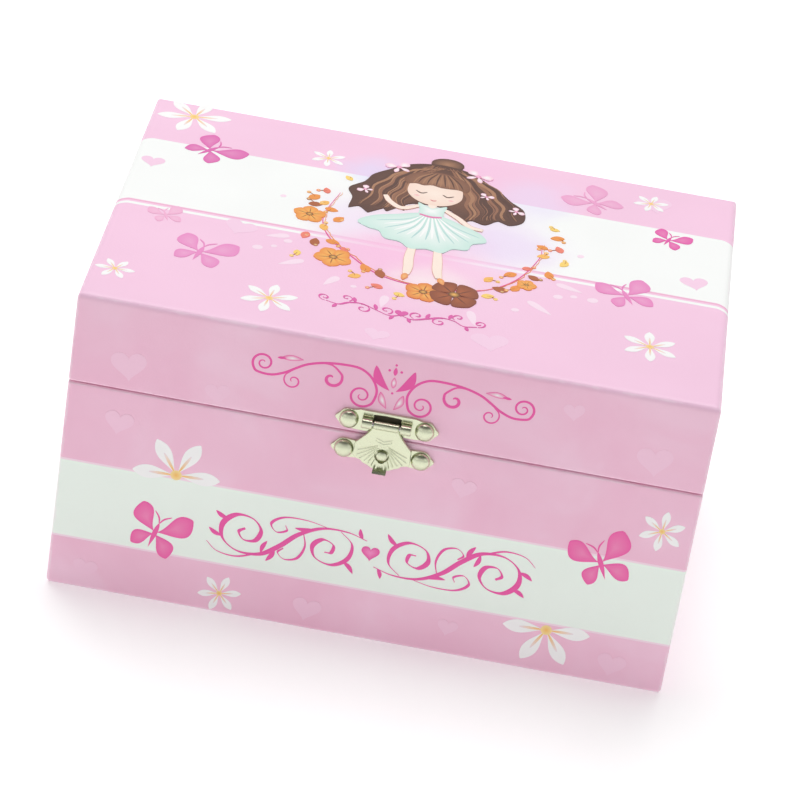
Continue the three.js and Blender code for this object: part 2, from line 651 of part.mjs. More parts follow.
// Pin drum: pinion, drum with its rows of pins, and the wheel that drives the governor.
function drumPins() {
  const [rows, rings] = [9, COMB_TEETH / 2];
  const pins = [];
  for (let row = 0; row < rows; row++)
    for (let ring = row % 2; ring < rings; ring += 2) {
      const pin = new THREE.BoxGeometry(0.4, 0.4, DRUM.pin + 0.5);
      const x = DRUM.from + 0.75 + (ring * (DRUM.to - DRUM.from - 1.5)) / (rings - 1);
      pin.translate(x, 0, DRUM.radius + (DRUM.pin - 0.5) / 2);
      pin.rotateX(((row + (ring % 3) / 3) / rows) * 2 * Math.PI);
      pins.push(pin.translate(0, DRUM_AXIS.y, DRUM_AXIS.z));
    }
  return pins;
}
const CROWN_PINION = { teeth: CROWN.pinionTeeth, module: CROWN.module };
add(
  "pin_drum",
  join(
    shaftX(SHAFT_RADIUS, [9.5, 33.5], DRUM_AXIS),
    plate("x", spurShape({ ...CROWN_PINION, turn: 0.5 }), [CROWN.inner - 0.25, CROWN.outer + 0.25], DRUM_AXIS),
    shaftX(DRUM.radius, [DRUM.from, DRUM.to], DRUM_AXIS, 36),
    plate(
      "x",
      spurShape({ teeth: DRUM_GEAR.teeth, module: DRUM_GEAR.module }),
      [DRUM.to - 0.1, DRUM_GEAR.to],
      DRUM_AXIS,
    ),
    ...drumPins(),
  ),
  BRASS,
);

// Tuned steel comb: its teeth hang down to just above the pins.
function combShape() {
  const [left, right] = [DRUM.from + 0.25, DRUM.to - 0.25];
  const pitch = (right - left) / COMB_TEETH;
  const heel = COMB_ZS[0] + 6.5;
  const slot = 0.25;
  const points = [[right, COMB_ZS[1]], [left, COMB_ZS[1]]];
  for (let i = 0; i < COMB_TEETH; i++) {
    const x = left + i * pitch;
    if (i) points.push([x + slot / 2, heel]);
    points.push([x + (i ? slot / 2 : 0), COMB_ZS[0]]);
    points.push([x + pitch - slot / 2, COMB_ZS[0]]);
    if (i < COMB_TEETH - 1) points.push([x + pitch - slot / 2, heel]);
  }
  return new THREE.Shape(points.map(([x, z]) => new THREE.Vector2(x, z)));
}
add("comb", frontSheet(combShape(), TRAIN_Y + 1, 1.5), STEEL);

// Bracket: carries the drum's left end, and two arms that hold the doll's spindle.
const ARM_YS = [TRAIN_Y - 2.25, TRAIN_Y + 2.25];
const bracketArm = (zs) => block([-3, 14.5], ARM_YS, zs);
add(
  "spindle_bracket",
  cut(
    join(
      block([14.25, 15], [TRAIN_Y - 3, BEDPLATE.front], [18.5, 37.25]),
      bracketArm([30.25, 31]),
      bracketArm([36.5, 37.25]),
    ),
    shaftX(SHAFT_RADIUS + 0.15, [10, 20], DRUM_AXIS),
    rod("z", SPINDLE_RADIUS + 0.15, [0, HEIGHT], { x: 0, y: TRAIN_Y }, 12),
  ),
  STEEL,
);

// Governor frame: two cheeks and two cross arms round the worm.
const WORM_Y = TRAIN_Y + (WORM_WHEEL.teeth * WORM_WHEEL.module) / 2 + WORM.pitchRadius;
const CHEEKS = [[32, 32.75], [37.75, 38.5]];
const GOVERNOR_ARMS = [[23.5, 24.25], [36, 36.75]];
add(
  "governor_frame",
  cut(
    join(
      block([CHEEKS[0][0], CHEEKS[1][1]], [BEDPLATE.front - 0.75, BEDPLATE.front], [19, 36.75]),
      block(CHEEKS[0], [TRAIN_Y - 3, BEDPLATE.front - 0.25], [19, 36.75]),
      block(CHEEKS[1], [TRAIN_Y - 3, BEDPLATE.front - 0.25], [23.5, 36.75]),
      ...GOVERNOR_ARMS.map((zs) =>
        block([CHEEKS[0][0] + 0.25, CHEEKS[1][1] - 0.25], [WORM_Y - 1.5, WORM_Y + 1.5], zs),
      ),
    ),
    shaftX(SHAFT_RADIUS + 0.15, [25, 36], DRUM_AXIS),
    shaftX(SHAFT_RADIUS + 0.15, [25, 45], SECOND_AXIS),
    rod("z", SHAFT_RADIUS + 0.15, [20, 40], { x: WORM.x, y: WORM_Y }, 12),
  ),
  STEEL,
);

// Second wheel: a pinion on the drum's wheel, and the worm wheel beyond the cheek.
add(
  "second_wheel",
  join(
    shaftX(SHAFT_RADIUS, [29.9, 38.5], SECOND_AXIS),
    plate(
      "x",
      spurShape({ teeth: DRUM_GEAR.pinionTeeth, module: DRUM_GEAR.module, turn: 0.5 }),
      [DRUM_GEAR.from, DRUM_GEAR.to],
      SECOND_AXIS,
    ),
    plate(
      "x",
      spurShape({ teeth: WORM_WHEEL.teeth, module: WORM_WHEEL.module, addendum: 0.7 }),
      [WORM_WHEEL.from, WORM_WHEEL.to],
      SECOND_AXIS,
    ),
  ),
  BRASS,
);

// Worm with its fan. A cut across the worm is one outline at every height, turned by the height's
// share of the pitch. The thread is half a pitch away from the wheel tooth that faces it.
function worm() {
  const pitch = Math.PI * WORM_WHEEL.module;
  const steps = 10; // to a turn, round the worm and along it
  const rows = WORM.turns * steps;
  const radiusAt = (phase) => {
    const across = Math.abs(phase - Math.round(phase)) * pitch;
    const height = ((pitch * TOOTH_SHARE) / 2 - across) / Math.tan(PRESSURE_ANGLE);
    return WORM.pitchRadius + THREE.MathUtils.clamp(height, -0.6, 0.35);
  };
  const positions = [];
  for (let row = 0; row <= rows; row++)
    for (let i = 0; i < steps; i++) {
      const rise = row / steps - WORM.turns / 2;
      const angle = (i / steps) * 2 * Math.PI;
      const radius = radiusAt(rise - i / steps - 0.75);
      positions.push(radius * Math.cos(angle), radius * Math.sin(angle), rise * pitch);
    }
  positions.push(0, 0, (-WORM.turns / 2) * pitch, 0, 0, (WORM.turns / 2) * pitch);
  const [bottom, top] = [(rows + 1) * steps, (rows + 1) * steps + 1];
  const index = [];
  for (let i = 0; i < steps; i++) {
    const next = (i + 1) % steps;
    for (let row = 0; row < rows; row++) {
      const [a, b] = [row * steps + i, row * steps + next];
      index.push(a, b, b + steps, a, b + steps, a + steps);
    }
    index.push(bottom, next, i, top, rows * steps + i, rows * steps + next);
  }
  const geometry = new THREE.BufferGeometry();
  geometry.setAttribute("position", new THREE.Float32BufferAttribute(positions, 3));
  return geometry.setIndex(index);
}
const WORM_CENTRE = { x: WORM.x, y: WORM_Y };
const FAN = { radius: 4.4, from: 37.25, to: 39.75 };
add(
  "worm_fan",
  join(
    rod("z", SHAFT_RADIUS, [23, FAN.to + 0.5], WORM_CENTRE, 12),
    worm().translate(WORM.x, WORM_Y, SECOND_AXIS.z),
    block([WORM.x - FAN.radius, WORM.x + FAN.radius], [WORM_Y - 0.3, WORM_Y + 0.3], [FAN.from, FAN.to]),
  ),
  BRASS,
);

// Stop plunger: the shut lid presses it down, which brings its flag beside the fan.
add(
  "stop_plunger",
  join(
    rod("z", PLUNGER.radius, [37.5, PLUNGER.top - 0.5], PLUNGER, 12),
    rod("z", 2.1, [PLUNGER.top - 2.25, PLUNGER.top], PLUNGER),
    block([PLUNGER.x - 0.6, PLUNGER.x + 0.6], [WORM_Y + FAN.radius + 0.3, PLUNGER.y], [38, 39]),
  ),
  STEEL,
);

// ---------------------------------------------------------------- spindle, spring and ballerina

const CUP_FLOOR = STAGE_TOP + 0.75;
const CUP_TOP = FOLD.z - BEND_RADIUS - 0.3;
const spindleSection = [
  [0, 29.5],
  [SPINDLE_RADIUS, 29.5],
  [SPINDLE_RADIUS, CUP_FLOOR],
  [3.2, CUP_FLOOR],
  [3.2, CUP_TOP],
  [2.7, CUP_TOP],
  [2.7, CUP_FLOOR + 0.75],
  [1.2, CUP_FLOOR + 0.75],
  [1.2, CUP_TOP - 0.5],
  [0, CUP_TOP - 0.5],
];
add(
  "doll_spindle",
  join(
    turned(spindleSection, 16),
    plate("z", spurShape({ ...CROWN_PINION, turn: 0.5 }), [
      BARREL.z + CROWN.inner - 0.25,
      BARREL.z + CROWN.outer + 0.25,
    ]),
  ).translate(0, TRAIN_Y, 0),
  WHITE_PLASTIC,
);

// Coil spring, bent forward through a quarter turn while the lid is shut.
class BentCoil extends THREE.Curve {
  getPoint(t, target = new THREE.Vector3()) {
    const bend = (t * Math.PI) / 2;
    const turn = t * SPRING.turns * 2 * Math.PI;
    const reach = BEND_RADIUS + SPRING.coil * Math.cos(turn);
    const centreY = FOLD.y - BEND_RADIUS;
    const centreZ = FOLD.z - BEND_RADIUS;
    return target.set(
      SPRING.coil * Math.sin(turn),
      centreY + reach * Math.cos(bend),
      centreZ + reach * Math.sin(bend),
    );
  }
}
const wire = new THREE.Shape().absarc(0, 0, SPRING.wire, 0, Math.PI * 2);
add(
  "doll_spring",
  new THREE.ExtrudeGeometry(wire, { extrudePath: new BentCoil(), steps: 80, curveSegments: 2 }),
  SPRING_STEEL,
);

// Doll parts are drawn standing, feet down on the fold point, then laid forward: +Z turns to -Y.
const folded = new THREE.Group();
folded.position.set(0, FOLD.y, FOLD.z);
folded.rotation.x = Math.PI / 2;
box.add(folded);

const FERRULE_FOOT = BEND_RADIUS + 0.3;
const ferruleSection = [
  [1.2, FERRULE_FOOT],
  [2.8, FERRULE_FOOT],
  [2.8, FERRULE_FOOT + 1.5],
  [1.9, FERRULE_FOOT + 3],
  [1.2, FERRULE_FOOT + 3],
];
add("doll_ferrule", turned([...ferruleSection, ferruleSection[0]], 16), WHITE_PLASTIC, folded);

const ball = (radius, x, y, z) => new THREE.SphereGeometry(radius, 12, 8).translate(x, y, z);

// One arm, from the shoulder out past the head and in again above it.
function raisedArm(side) {
  const route = new THREE.CatmullRomCurve3([
    new THREE.Vector3(side * 1.6, 0, TOE + 30),
    new THREE.Vector3(side * 5.6, -0.6, TOE + 32.5),
    new THREE.Vector3(side * 6.2, -1.2, TOE + 38),
    new THREE.Vector3(side * 3.6, -1.4, TOE + 43.2),
    new THREE.Vector3(side * 0.9, -1.4, TOE + 44.6),
  ]);
  const section = new THREE.Shape().absarc(0, 0, 0.75, 0, Math.PI * 2);
  return new THREE.ExtrudeGeometry(section, { extrudePath: route, steps: 8, curveSegments: 3 });
}

const legSection = [
  [0, TOE],
  [0.6, TOE + 0.4],
  [0.8, TOE + 3],
  [1.35, TOE + 9],
  [1.2, TOE + 12],
  [1.9, TOE + 19],
  [0, TOE + 21],
];
const bodySection = [
  [0, TOE + 17.5],
  [2.4, TOE + 18.5],
  [2.9, TOE + 20],
  [1.9, TOE + 23],
  [2, TOE + 25],
  [2.8, TOE + 28.5],
  [2.4, TOE + 30.5],
  [1, TOE + 31.5],
  [0.95, TOE + 33.5],
  [0, TOE + 34],
];
const peg = rod("z", 0.8, [FERRULE_FOOT + 0.5, TOE + 4], {}, 10);
add(
  "ballerina",
  join(
    peg,
    turned(legSection, 10).translate(-0.85, 0, 0),
    turned(legSection, 10).translate(0.85, 0, 0),
    turned(bodySection, 12),
    raisedArm(-1),
    raisedArm(1),
    ball(3.6, 0, 0, TOE + 36.6),
    ball(1.7, 0, 1.6, TOE + 40.4),
  ),
  DOLL_PLASTIC,
  folded,
);

const tutuSection = [
  [3.2, TUTU.waist - 0.9],
  [TUTU.radius, TUTU.waist - 3.2],
  [TUTU.radius, TUTU.waist - 1.8],
  [3.2, TUTU.waist + 0.9],
];
add("tutu", turned([...tutuSection, tutuSection[0]], 28), TULLE, folded);

export default box;
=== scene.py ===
# %% [markdown]
# # A musical jewellery box, made in Blender
#
# The box is board wrapped in printed paper. It has a nickel hasp in front, two hinges and a winding
# key behind, and inside it a mirror, velvet trays and a small ballerina on a coil spring.
# Its sizes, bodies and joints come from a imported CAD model, which stays as it is. Everything below
# is the surface that the eye meets: rounded wraps, print, metal, cloth and the doll.
#
# All shapes here are arrays of points worked out with numpy in millimetres, then put into a mesh in
# metres. That keeps each shape a formula, so that a size can change without any redrawing.

# %% Load the frame
import json
import math

import bmesh
import bpy
import numpy as np
from mathutils import Matrix, Vector

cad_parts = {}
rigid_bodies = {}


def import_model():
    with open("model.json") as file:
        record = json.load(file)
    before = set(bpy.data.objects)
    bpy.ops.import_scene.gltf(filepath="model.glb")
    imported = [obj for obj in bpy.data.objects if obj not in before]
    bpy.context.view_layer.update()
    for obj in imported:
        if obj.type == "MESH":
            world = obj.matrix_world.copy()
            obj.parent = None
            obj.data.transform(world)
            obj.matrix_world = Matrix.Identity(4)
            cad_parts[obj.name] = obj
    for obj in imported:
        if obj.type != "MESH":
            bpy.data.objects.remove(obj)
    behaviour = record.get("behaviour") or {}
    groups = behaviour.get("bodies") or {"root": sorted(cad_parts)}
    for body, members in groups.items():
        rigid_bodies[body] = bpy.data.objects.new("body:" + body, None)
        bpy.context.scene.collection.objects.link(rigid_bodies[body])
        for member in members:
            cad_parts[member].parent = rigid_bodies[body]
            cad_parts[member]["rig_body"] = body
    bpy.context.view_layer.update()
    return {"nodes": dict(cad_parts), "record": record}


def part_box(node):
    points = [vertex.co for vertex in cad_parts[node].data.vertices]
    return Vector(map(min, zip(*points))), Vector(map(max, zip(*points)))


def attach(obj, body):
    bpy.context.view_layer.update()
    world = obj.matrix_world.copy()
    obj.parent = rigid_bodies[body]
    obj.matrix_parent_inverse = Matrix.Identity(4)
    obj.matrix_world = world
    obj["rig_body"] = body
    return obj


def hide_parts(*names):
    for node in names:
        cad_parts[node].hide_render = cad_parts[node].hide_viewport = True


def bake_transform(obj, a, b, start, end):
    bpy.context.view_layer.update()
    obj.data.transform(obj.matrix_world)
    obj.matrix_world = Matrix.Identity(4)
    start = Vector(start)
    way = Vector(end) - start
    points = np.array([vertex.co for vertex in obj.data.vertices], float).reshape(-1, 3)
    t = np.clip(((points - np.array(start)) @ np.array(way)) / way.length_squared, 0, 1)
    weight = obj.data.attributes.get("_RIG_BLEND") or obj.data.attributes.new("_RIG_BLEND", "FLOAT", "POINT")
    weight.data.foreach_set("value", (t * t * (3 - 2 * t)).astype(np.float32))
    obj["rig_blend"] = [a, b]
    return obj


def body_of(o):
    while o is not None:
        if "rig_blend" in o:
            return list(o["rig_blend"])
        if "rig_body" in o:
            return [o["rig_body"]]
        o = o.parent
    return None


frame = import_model()

# %% [markdown]
# ## Camera and light
#
# A camera is a lens and a place. The long lens keeps the box's upright edges nearly parallel, and the
# camera is rolled a little, so that the box stands at a slant in its view.
# The light is one big soft panel overhead, which makes the lid's top the brightest face, and two weaker
# panels in front. The world is white near the horizon, which fills the shadows, and dark overhead, which
# gives the metal something dark to reflect as well as something bright.

# %% Camera
camera_data = bpy.data.cameras.new("camera")
camera_data.sensor_width = 36
camera_data.lens = 163.45
camera_data.clip_start = 0.05
camera_data.clip_end = 20
camera = bpy.data.objects.new("camera", camera_data)
bpy.context.scene.collection.objects.link(camera)
bpy.context.scene.camera = camera
right = (0.983571, 0.113118, 0.140687)
upward = (-0.178410, 0.490195, 0.853158)
backward = (0.027544, -0.864241, 0.502323)
camera.matrix_world = Matrix.Translation((0.025113, -0.778146, 0.488220)) @ Matrix(
    (right, upward, backward)
).transposed().to_4x4()
print("camera stands", round(camera.location.length, 3), "m from the box's foot")


# %% Light
def light_panel(name, place, size, power, tint=(1, 1, 1)):
    """A square area light at place, turned to face the middle of the box."""
    data = bpy.data.lights.new(name, "AREA")
    data.energy = power
    data.size = size
    data.color = tint
    panel = bpy.data.objects.new(name, data)
    panel.location = place
    towards = Vector((0, 0, 0.04)) - panel.location
    panel.rotation_euler = towards.to_track_quat("-Z", "Y").to_euler()
    bpy.context.scene.collection.objects.link(panel)


light_panel("overhead", (-0.10, 0.34, 1.12), 0.9, 10.8)
COOL = (0.99, 1.0, 0.99)
light_panel("front_left", (-0.90, -1.00, 0.55), 0.7, 0.42, COOL)
light_panel("front_right", (1.00, -0.85, 0.70), 0.6, 0.32, COOL)

world = bpy.data.worlds.new("studio")
world.use_nodes = True
sky = world.node_tree
direction = sky.nodes.new("ShaderNodeTexCoord").outputs["Generated"]
height = sky.nodes.new("ShaderNodeSeparateXYZ")
falloff = sky.nodes.new("ShaderNodeMapRange")
falloff.interpolation_type = "SMOOTHSTEP"
for socket, value in zip(falloff.inputs[1:5], (0.25, 0.75, 0.74, 0.15)):
    socket.default_value = value
sky.links.new(direction, height.inputs[0])
sky.links.new(height.outputs["Z"], falloff.inputs[0])
sky.links.new(falloff.outputs[0], sky.nodes["Background"].inputs["Strength"])
sky.nodes["Background"].inputs["Color"].default_value = (1.0, 0.985, 0.99, 1)
bpy.context.scene.world = world
bpy.context.scene.view_settings.view_transform = "Standard"
bpy.context.scene.view_settings.look = "None"

# %% [markdown]
# ## Shader tools
#
# A material is a small network of nodes. Writing each network by hand is long, so these helpers add
# a node, set its plain values and link what is given to its inputs.
# Effects that several materials share are node groups, built once, with named inputs and outputs.


# %% Node helpers
def feed(tree, socket, value):
    """Links another node's output to a socket, or sets the socket to a plain value."""
    if isinstance(value, bpy.types.NodeSocket):
        tree.links.new(value, socket)
    else:
        socket.default_value = value


def put(tree, kind, inputs=(), **settings):
    """A node of that kind. inputs maps a socket's name or number to a value or to another node's output."""
    node = tree.nodes.new("ShaderNode" + kind)
    for key, value in settings.items():
        setattr(node, key, value)
    for key, value in dict(inputs).items():
        feed(tree, node.inputs[key], value)
    return node


def calc(tree, operation, *values):
    """A Math node's result."""
    return put(tree, "Math", dict(enumerate(values)), operation=operation).outputs[0]


def move(tree, operation, *values, **named):
    """A Vector Math node."""
    return put(tree, "VectorMath", {**dict(enumerate(values)), **named}, operation=operation)


def blend_colour(tree, share, first, second, mode="MIX"):
    """Two colours mixed by share."""
    return put(tree, "Mix", {0: share, 6: first, 7: second}, data_type="RGBA", blend_type=mode).outputs[2]


def noise(tree, vector, scale, detail, distortion=0.0):
    """A Noise Texture node: larger scale gives finer spots, more detail gives rougher ones."""
    inputs = {"Vector": vector, "Scale": scale, "Detail": detail, "Distortion": distortion}
    return put(tree, "TexNoise", inputs)


def raised(tree, height, strength, distance):
    """The normal of a surface raised by height, at most distance metres."""
    return put(tree, "Bump", {"Strength": strength, "Distance": distance, "Height": height}).outputs[0]


def ramp(tree, value, low, high, first=0.0, last=1.0, kind="LINEAR"):
    """first where value is below low, last where it is above high, and between them in between."""
    limits = {0: value, 1: low, 2: high, 3: first, 4: last}
    return put(tree, "MapRange", limits, interpolation_type=kind).outputs[0]


def step_up(tree, value, low, high):
    """0 below low, 1 above high and a smooth rise between them."""
    return ramp(tree, value, low, high, kind="SMOOTHSTEP")


def rgb(r, g, b):
    """A screen colour, 0 to 255 each, as the linear colour that shaders work in."""
    screen = [r / 255, g / 255, b / 255]
    linear = [c / 12.92 if c <= 0.04045 else ((c + 0.055) / 1.055) ** 2.4 for c in screen]
    return (*linear, 1.0)


def shader_group(name, inputs, outputs):
    """An empty node group. inputs and outputs map a name to a socket type, or to (type, default)."""
    tree = bpy.data.node_groups.new(name, "ShaderNodeTree")
    for side, sockets in (("INPUT", inputs), ("OUTPUT", outputs)):
        for label, kind in sockets.items():
            kind, default = kind if isinstance(kind, tuple) else (kind, None)
            socket = tree.interface.new_socket(label, in_out=side, socket_type="NodeSocket" + kind)
            if default is not None:
                socket.default_value = default
    return tree, tree.nodes.new("NodeGroupInput").outputs, tree.nodes.new("NodeGroupOutput").inputs


def use_group(tree, group, **values):
    """A group placed in a material. An input's name may have _ where the socket has a space."""
    node = tree.nodes.new("ShaderNodeGroup")
    node.node_tree = group
    for key, value in values.items():
        feed(tree, node.inputs[key.replace("_", " ")], value)
    return node.outputs


def wire_up(tree, sockets, **values):
    """Links values to the sockets of those names, with _ for a space."""
    for key, value in values.items():
        tree.links.new(value, sockets[key.replace("_", " ")])


def material(name, **constants):
    """A new material's tree, its Principled shader's inputs and its Object coordinates."""
    made = bpy.data.materials.new(name)
    made.use_nodes = True
    tree = made.node_tree
    principled = tree.nodes["Principled BSDF"]
    for key, value in constants.items():
        principled.inputs[key.replace("_", " ")].default_value = value
    return made, tree, principled.inputs, put(tree, "TexCoord").outputs["Object"]


print("white as a linear colour:", rgb(255, 255, 255))


# %% [markdown]
# ## Shared effects
#
# - **Grain** is the fine roughness of paper, board or cast metal: two noises of different size, one for
#   a bump and one for a slow change of tone.
# - **Pile** is the short fur of velvet, with soft brushed patches.
# - **Handling** is what hands leave on metal and plastic: faint smudges and tiny scratches that change
#   only the roughness.
# - **Box edges** is a mask that is 1 along a box's edges. On a box's face one of the three distances to
#   its faces is nought, so the second smallest of them is the distance to the nearest edge.

# %% Grain, pile and handling groups
grain_group, take, give = shader_group(
    "grain",
    {"Vector": "Vector", "Size": ("Float", 1500.0), "Depth": ("Float", 0.1), "Patch": ("Float", 60.0)},
    {"Tone": "Float", "Normal": "Vector"},
)
fine = noise(grain_group, take["Vector"], take["Size"], 3.0).outputs[0]
slow = noise(grain_group, take["Vector"], take["Patch"], 2.0).outputs[0]
wire_up(grain_group, give, Tone=slow, Normal=raised(grain_group, fine, take["Depth"], 0.0002))

pile_group, take, give = shader_group(
    "pile",
    {"Vector": "Vector", "Depth": ("Float", 0.5), "Size": ("Float", 2600.0)},
    {"Shade": "Float", "Normal": "Vector"},
)
fur = noise(pile_group, take["Vector"], take["Size"], 2.0).outputs[0]
brushed = noise(pile_group, take["Vector"], 90.0, 3.0, 0.8).outputs[0]
height = calc(pile_group, "ADD", fur, brushed)
shade = calc(pile_group, "MULTIPLY_ADD", fur, 0.45, calc(pile_group, "MULTIPLY", brushed, 0.55))
wire_up(pile_group, give, Shade=shade, Normal=raised(pile_group, height, take["Depth"], 0.0004))

handling_group, take, give = shader_group(
    "handling",
    {"Vector": "Vector", "Clean": ("Float", 0.15), "Smudged": ("Float", 0.35), "Scratch": ("Float", 0.05)},
    {"Roughness": "Float", "Normal": "Vector"},
)
smudge = noise(handling_group, take["Vector"], 140.0, 4.0).outputs[0]
stretched = put(handling_group, "Mapping", {"Vector": take["Vector"], "Scale": (1, 1, 9)}).outputs[0]
scratch = noise(handling_group, stretched, 900.0, 2.0).outputs[0]
roughness = ramp(handling_group, smudge, 0.35, 0.7, take["Clean"], take["Smudged"])
scratched = raised(handling_group, scratch, take["Scratch"], 0.0001)
wire_up(handling_group, give, Roughness=roughness, Normal=scratched)
print("groups:", [g.name for g in bpy.data.node_groups])

# %% Box edge and band groups
HALF_WIDTH, HALF_DEPTH, HEIGHT = 0.075, 0.054, 0.080
PARTING = 0.0565

edge_group, take, give = shader_group(
    "box_edges",
    {"Vector": "Vector", "Low": ("Float", 0.0), "High": ("Float", HEIGHT), "Reach": ("Float", 0.0012)},
    {"Mask": "Float"},
)
x, y, z = put(edge_group, "SeparateXYZ", {0: take["Vector"]}).outputs
to_side = calc(edge_group, "SUBTRACT", HALF_WIDTH, calc(edge_group, "ABSOLUTE", x))
to_front = calc(edge_group, "SUBTRACT", HALF_DEPTH, calc(edge_group, "ABSOLUTE", y))
to_top = calc(edge_group, "SUBTRACT", take["High"], z)
to_bottom = calc(edge_group, "SUBTRACT", z, take["Low"])
to_end = calc(edge_group, "MINIMUM", to_top, to_bottom)
pairs = [
    calc(edge_group, "MAXIMUM", a, b)
    for a, b in ((to_side, to_front), (to_front, to_end), (to_end, to_side))
]
nearest = calc(edge_group, "MINIMUM", calc(edge_group, "MINIMUM", pairs[0], pairs[1]), pairs[2])
rubbed = noise(edge_group, take["Vector"], 260.0, 5.0).outputs[0]
reach_here = calc(edge_group, "MULTIPLY", take["Reach"], calc(edge_group, "MULTIPLY_ADD", rubbed, 2.4, -0.35))
inward = step_up(edge_group, calc(edge_group, "DIVIDE", nearest, reach_here), 0.4, 1.0)
wire_up(edge_group, give, Mask=calc(edge_group, "SUBTRACT", 1.0, inward))

band_group, take, give = shader_group(
    "printed_band",
    {"Across": "Float", "Low": "Float", "High": "Float", "Soft": ("Float", 0.0001)},
    {"Mask": "Float"},
)
above = ramp(band_group, calc(band_group, "SUBTRACT", take["Across"], take["Low"]), 0.0, take["Soft"])
below = ramp(band_group, calc(band_group, "SUBTRACT", take["High"], take["Across"]), 0.0, take["Soft"])
wire_up(band_group, give, Mask=calc(band_group, "MULTIPLY", above, below))
print("box edge and band groups ready")

# %% [markdown]
# ## Printed paper
#
# The wrap is pink paper with soft cloud-like blotches, printed with one broad white band over the lid
# and another round the box. The plain print is worked out from Object coordinates, so that it runs
# over the edges without a seam. Thin lines follow the bands. The lid's top is painted a paler pink as
# painted light, for a top lit more than the walls. Along the board's edges the print turns paler,
# partly from rubbed wear and partly as a painted highlight on the rounded edges.

# %% Printed paper materials
PINK = rgb(248, 198, 221)
LIT_TOP_PINK = rgb(248, 205, 231)
PALE_PINK = rgb(250, 207, 228)
DEEP_PINK = rgb(245, 187, 213)
BAND_WHITE = rgb(250, 252, 250)
MINT_WHITE = rgb(244, 254, 245)
BAND_EDGE = rgb(252, 226, 238)
LINE_PINK = rgb(240, 178, 208)
# Edge tone: rubbed wear together with a painted highlight on the rounded edges.
WORN_AND_LIT_PINK = rgb(254, 240, 247)


def cloudy_pink(tree, place):
    """Pink print with slow cloudy blotches between a paler and a deeper pink."""
    cloud = noise(tree, place, 38.0, 3.0, 0.6).outputs[0]
    lighter = blend_colour(tree, step_up(tree, cloud, 0.48, 0.72), PINK, PALE_PINK)
    deeper = calc(tree, "MULTIPLY", step_up(tree, cloud, 0.52, 0.3), 0.45)
    return blend_colour(tree, deeper, lighter, DEEP_PINK)


def paint_band(tree, colour, across, low, high, paint):
    """colour with a band of paint between low and high, in millimetres."""
    mask = use_group(tree, band_group, Across=across, Low=low / 1000, High=high / 1000)["Mask"]
    return blend_colour(tree, mask, colour, paint)


def paper_surface(tree, shader, place, colour, dull):
    """Paper under a colour: grain in its tone, its normal and its roughness, which is dull or more."""
    grain = use_group(tree, grain_group, Vector=place, Size=1900.0, Depth=0.16, Patch=30.0)
    tone = calc(tree, "MULTIPLY_ADD", grain["Tone"], 0.06, 0.97)
    toned = blend_colour(tree, 1.0, colour, tone, "MULTIPLY")
    roughness = calc(tree, "MULTIPLY_ADD", grain["Tone"], 0.16, dull)
    wire_up(tree, shader, Base_Color=toned, Roughness=roughness, Normal=grain["Normal"])


def worn_and_lit_paper(tree, shader, place, colour, low, high):
    """A wrap between two heights: its print on a satin paper, paler along the edges from rubbed wear
    and from a painted highlight on the rounded edges.
    """
    # Paler along the edges: partly rubbed wear, partly a painted highlight where the rounded edges catch the
    # light.
    rub_and_highlight = use_group(tree, edge_group, Vector=place, Low=low, High=high, Reach=0.0009)["Mask"]
    rubbed = blend_colour(tree, calc(tree, "MULTIPLY", rub_and_highlight, 0.35), colour, WORN_AND_LIT_PINK)
    paper_surface(tree, shader, place, rubbed, 0.34)


def watercolour(tree, place, colour, centre, radius, tint, strength):
    """A soft round stain of tint, with a ragged rim, on the lid's top."""
    ragged = noise(tree, place, 75.0, 3.0).outputs["Color"]
    shifted = move(tree, "SUBTRACT", ragged, (0.5, 0.5, 0.5)).outputs[0]
    moved = move(tree, "ADD", place, move(tree, "SCALE", shifted, Scale=0.012).outputs[0]).outputs[0]
    x, y, z = put(tree, "SeparateXYZ", {0: moved}).outputs
    flat = put(tree, "CombineXYZ", {0: x, 1: y, 2: 0.0}).outputs[0]
    away = move(tree, "DISTANCE", flat, (centre[0] / 1000, centre[1] / 1000, 0)).outputs["Value"]
    inside = step_up(tree, away, radius / 1000, radius * 0.15 / 1000)
    on_top = step_up(tree, put(tree, "SeparateXYZ", {0: place}).outputs[2], HEIGHT - 0.0015, HEIGHT - 0.0005)
    share = calc(tree, "MULTIPLY", calc(tree, "MULTIPLY", inside, on_top), strength)
    return blend_colour(tree, share, colour, tint)


STAINS = (
    ((2, 3), 38, rgb(252, 228, 243), 0.7), ((-4, -7), 30, rgb(249, 186, 224), 0.65),
    ((3, -19), 14, rgb(255, 246, 242), 0.6), ((-15, 33), 14, rgb(222, 220, 251), 0.6),
    ((19, 8), 20, rgb(232, 214, 247), 0.6), ((25, 33), 15, rgb(232, 220, 249), 0.5),
    ((-20, 6), 16, rgb(240, 232, 251), 0.5), ((4, 42), 18, rgb(249, 196, 229), 0.5),
)
lid_paper, tree, shader, place = material("printed_paper_lid")
across = put(tree, "SeparateXYZ", {0: place}).outputs
near_side = step_up(tree, calc(tree, "ABSOLUTE", across[0]), 0.0718, HALF_WIDTH)
along_y = calc(tree, "MULTIPLY_ADD", near_side, 0.0016, across[1])
# Painted light: the top face is painted a paler pink, as a lit top looks beside the shaded walls.
on_top = step_up(tree, across[2], HEIGHT - 0.0015, HEIGHT - 0.0003)
colour = blend_colour(tree, calc(tree, "MULTIPLY", on_top, 0.85), cloudy_pink(tree, place), LIT_TOP_PINK)
for low, high, paint in ((-6.0, -4.7, BAND_WHITE), (-4.1, -3.3, LINE_PINK), (-3.3, 30.4, BAND_WHITE)):
    colour = paint_band(tree, colour, along_y, low, high, paint)
for stain in STAINS:
    colour = watercolour(tree, place, colour, *stain)
worn_and_lit_paper(tree, shader, place, colour, PARTING, HEIGHT)

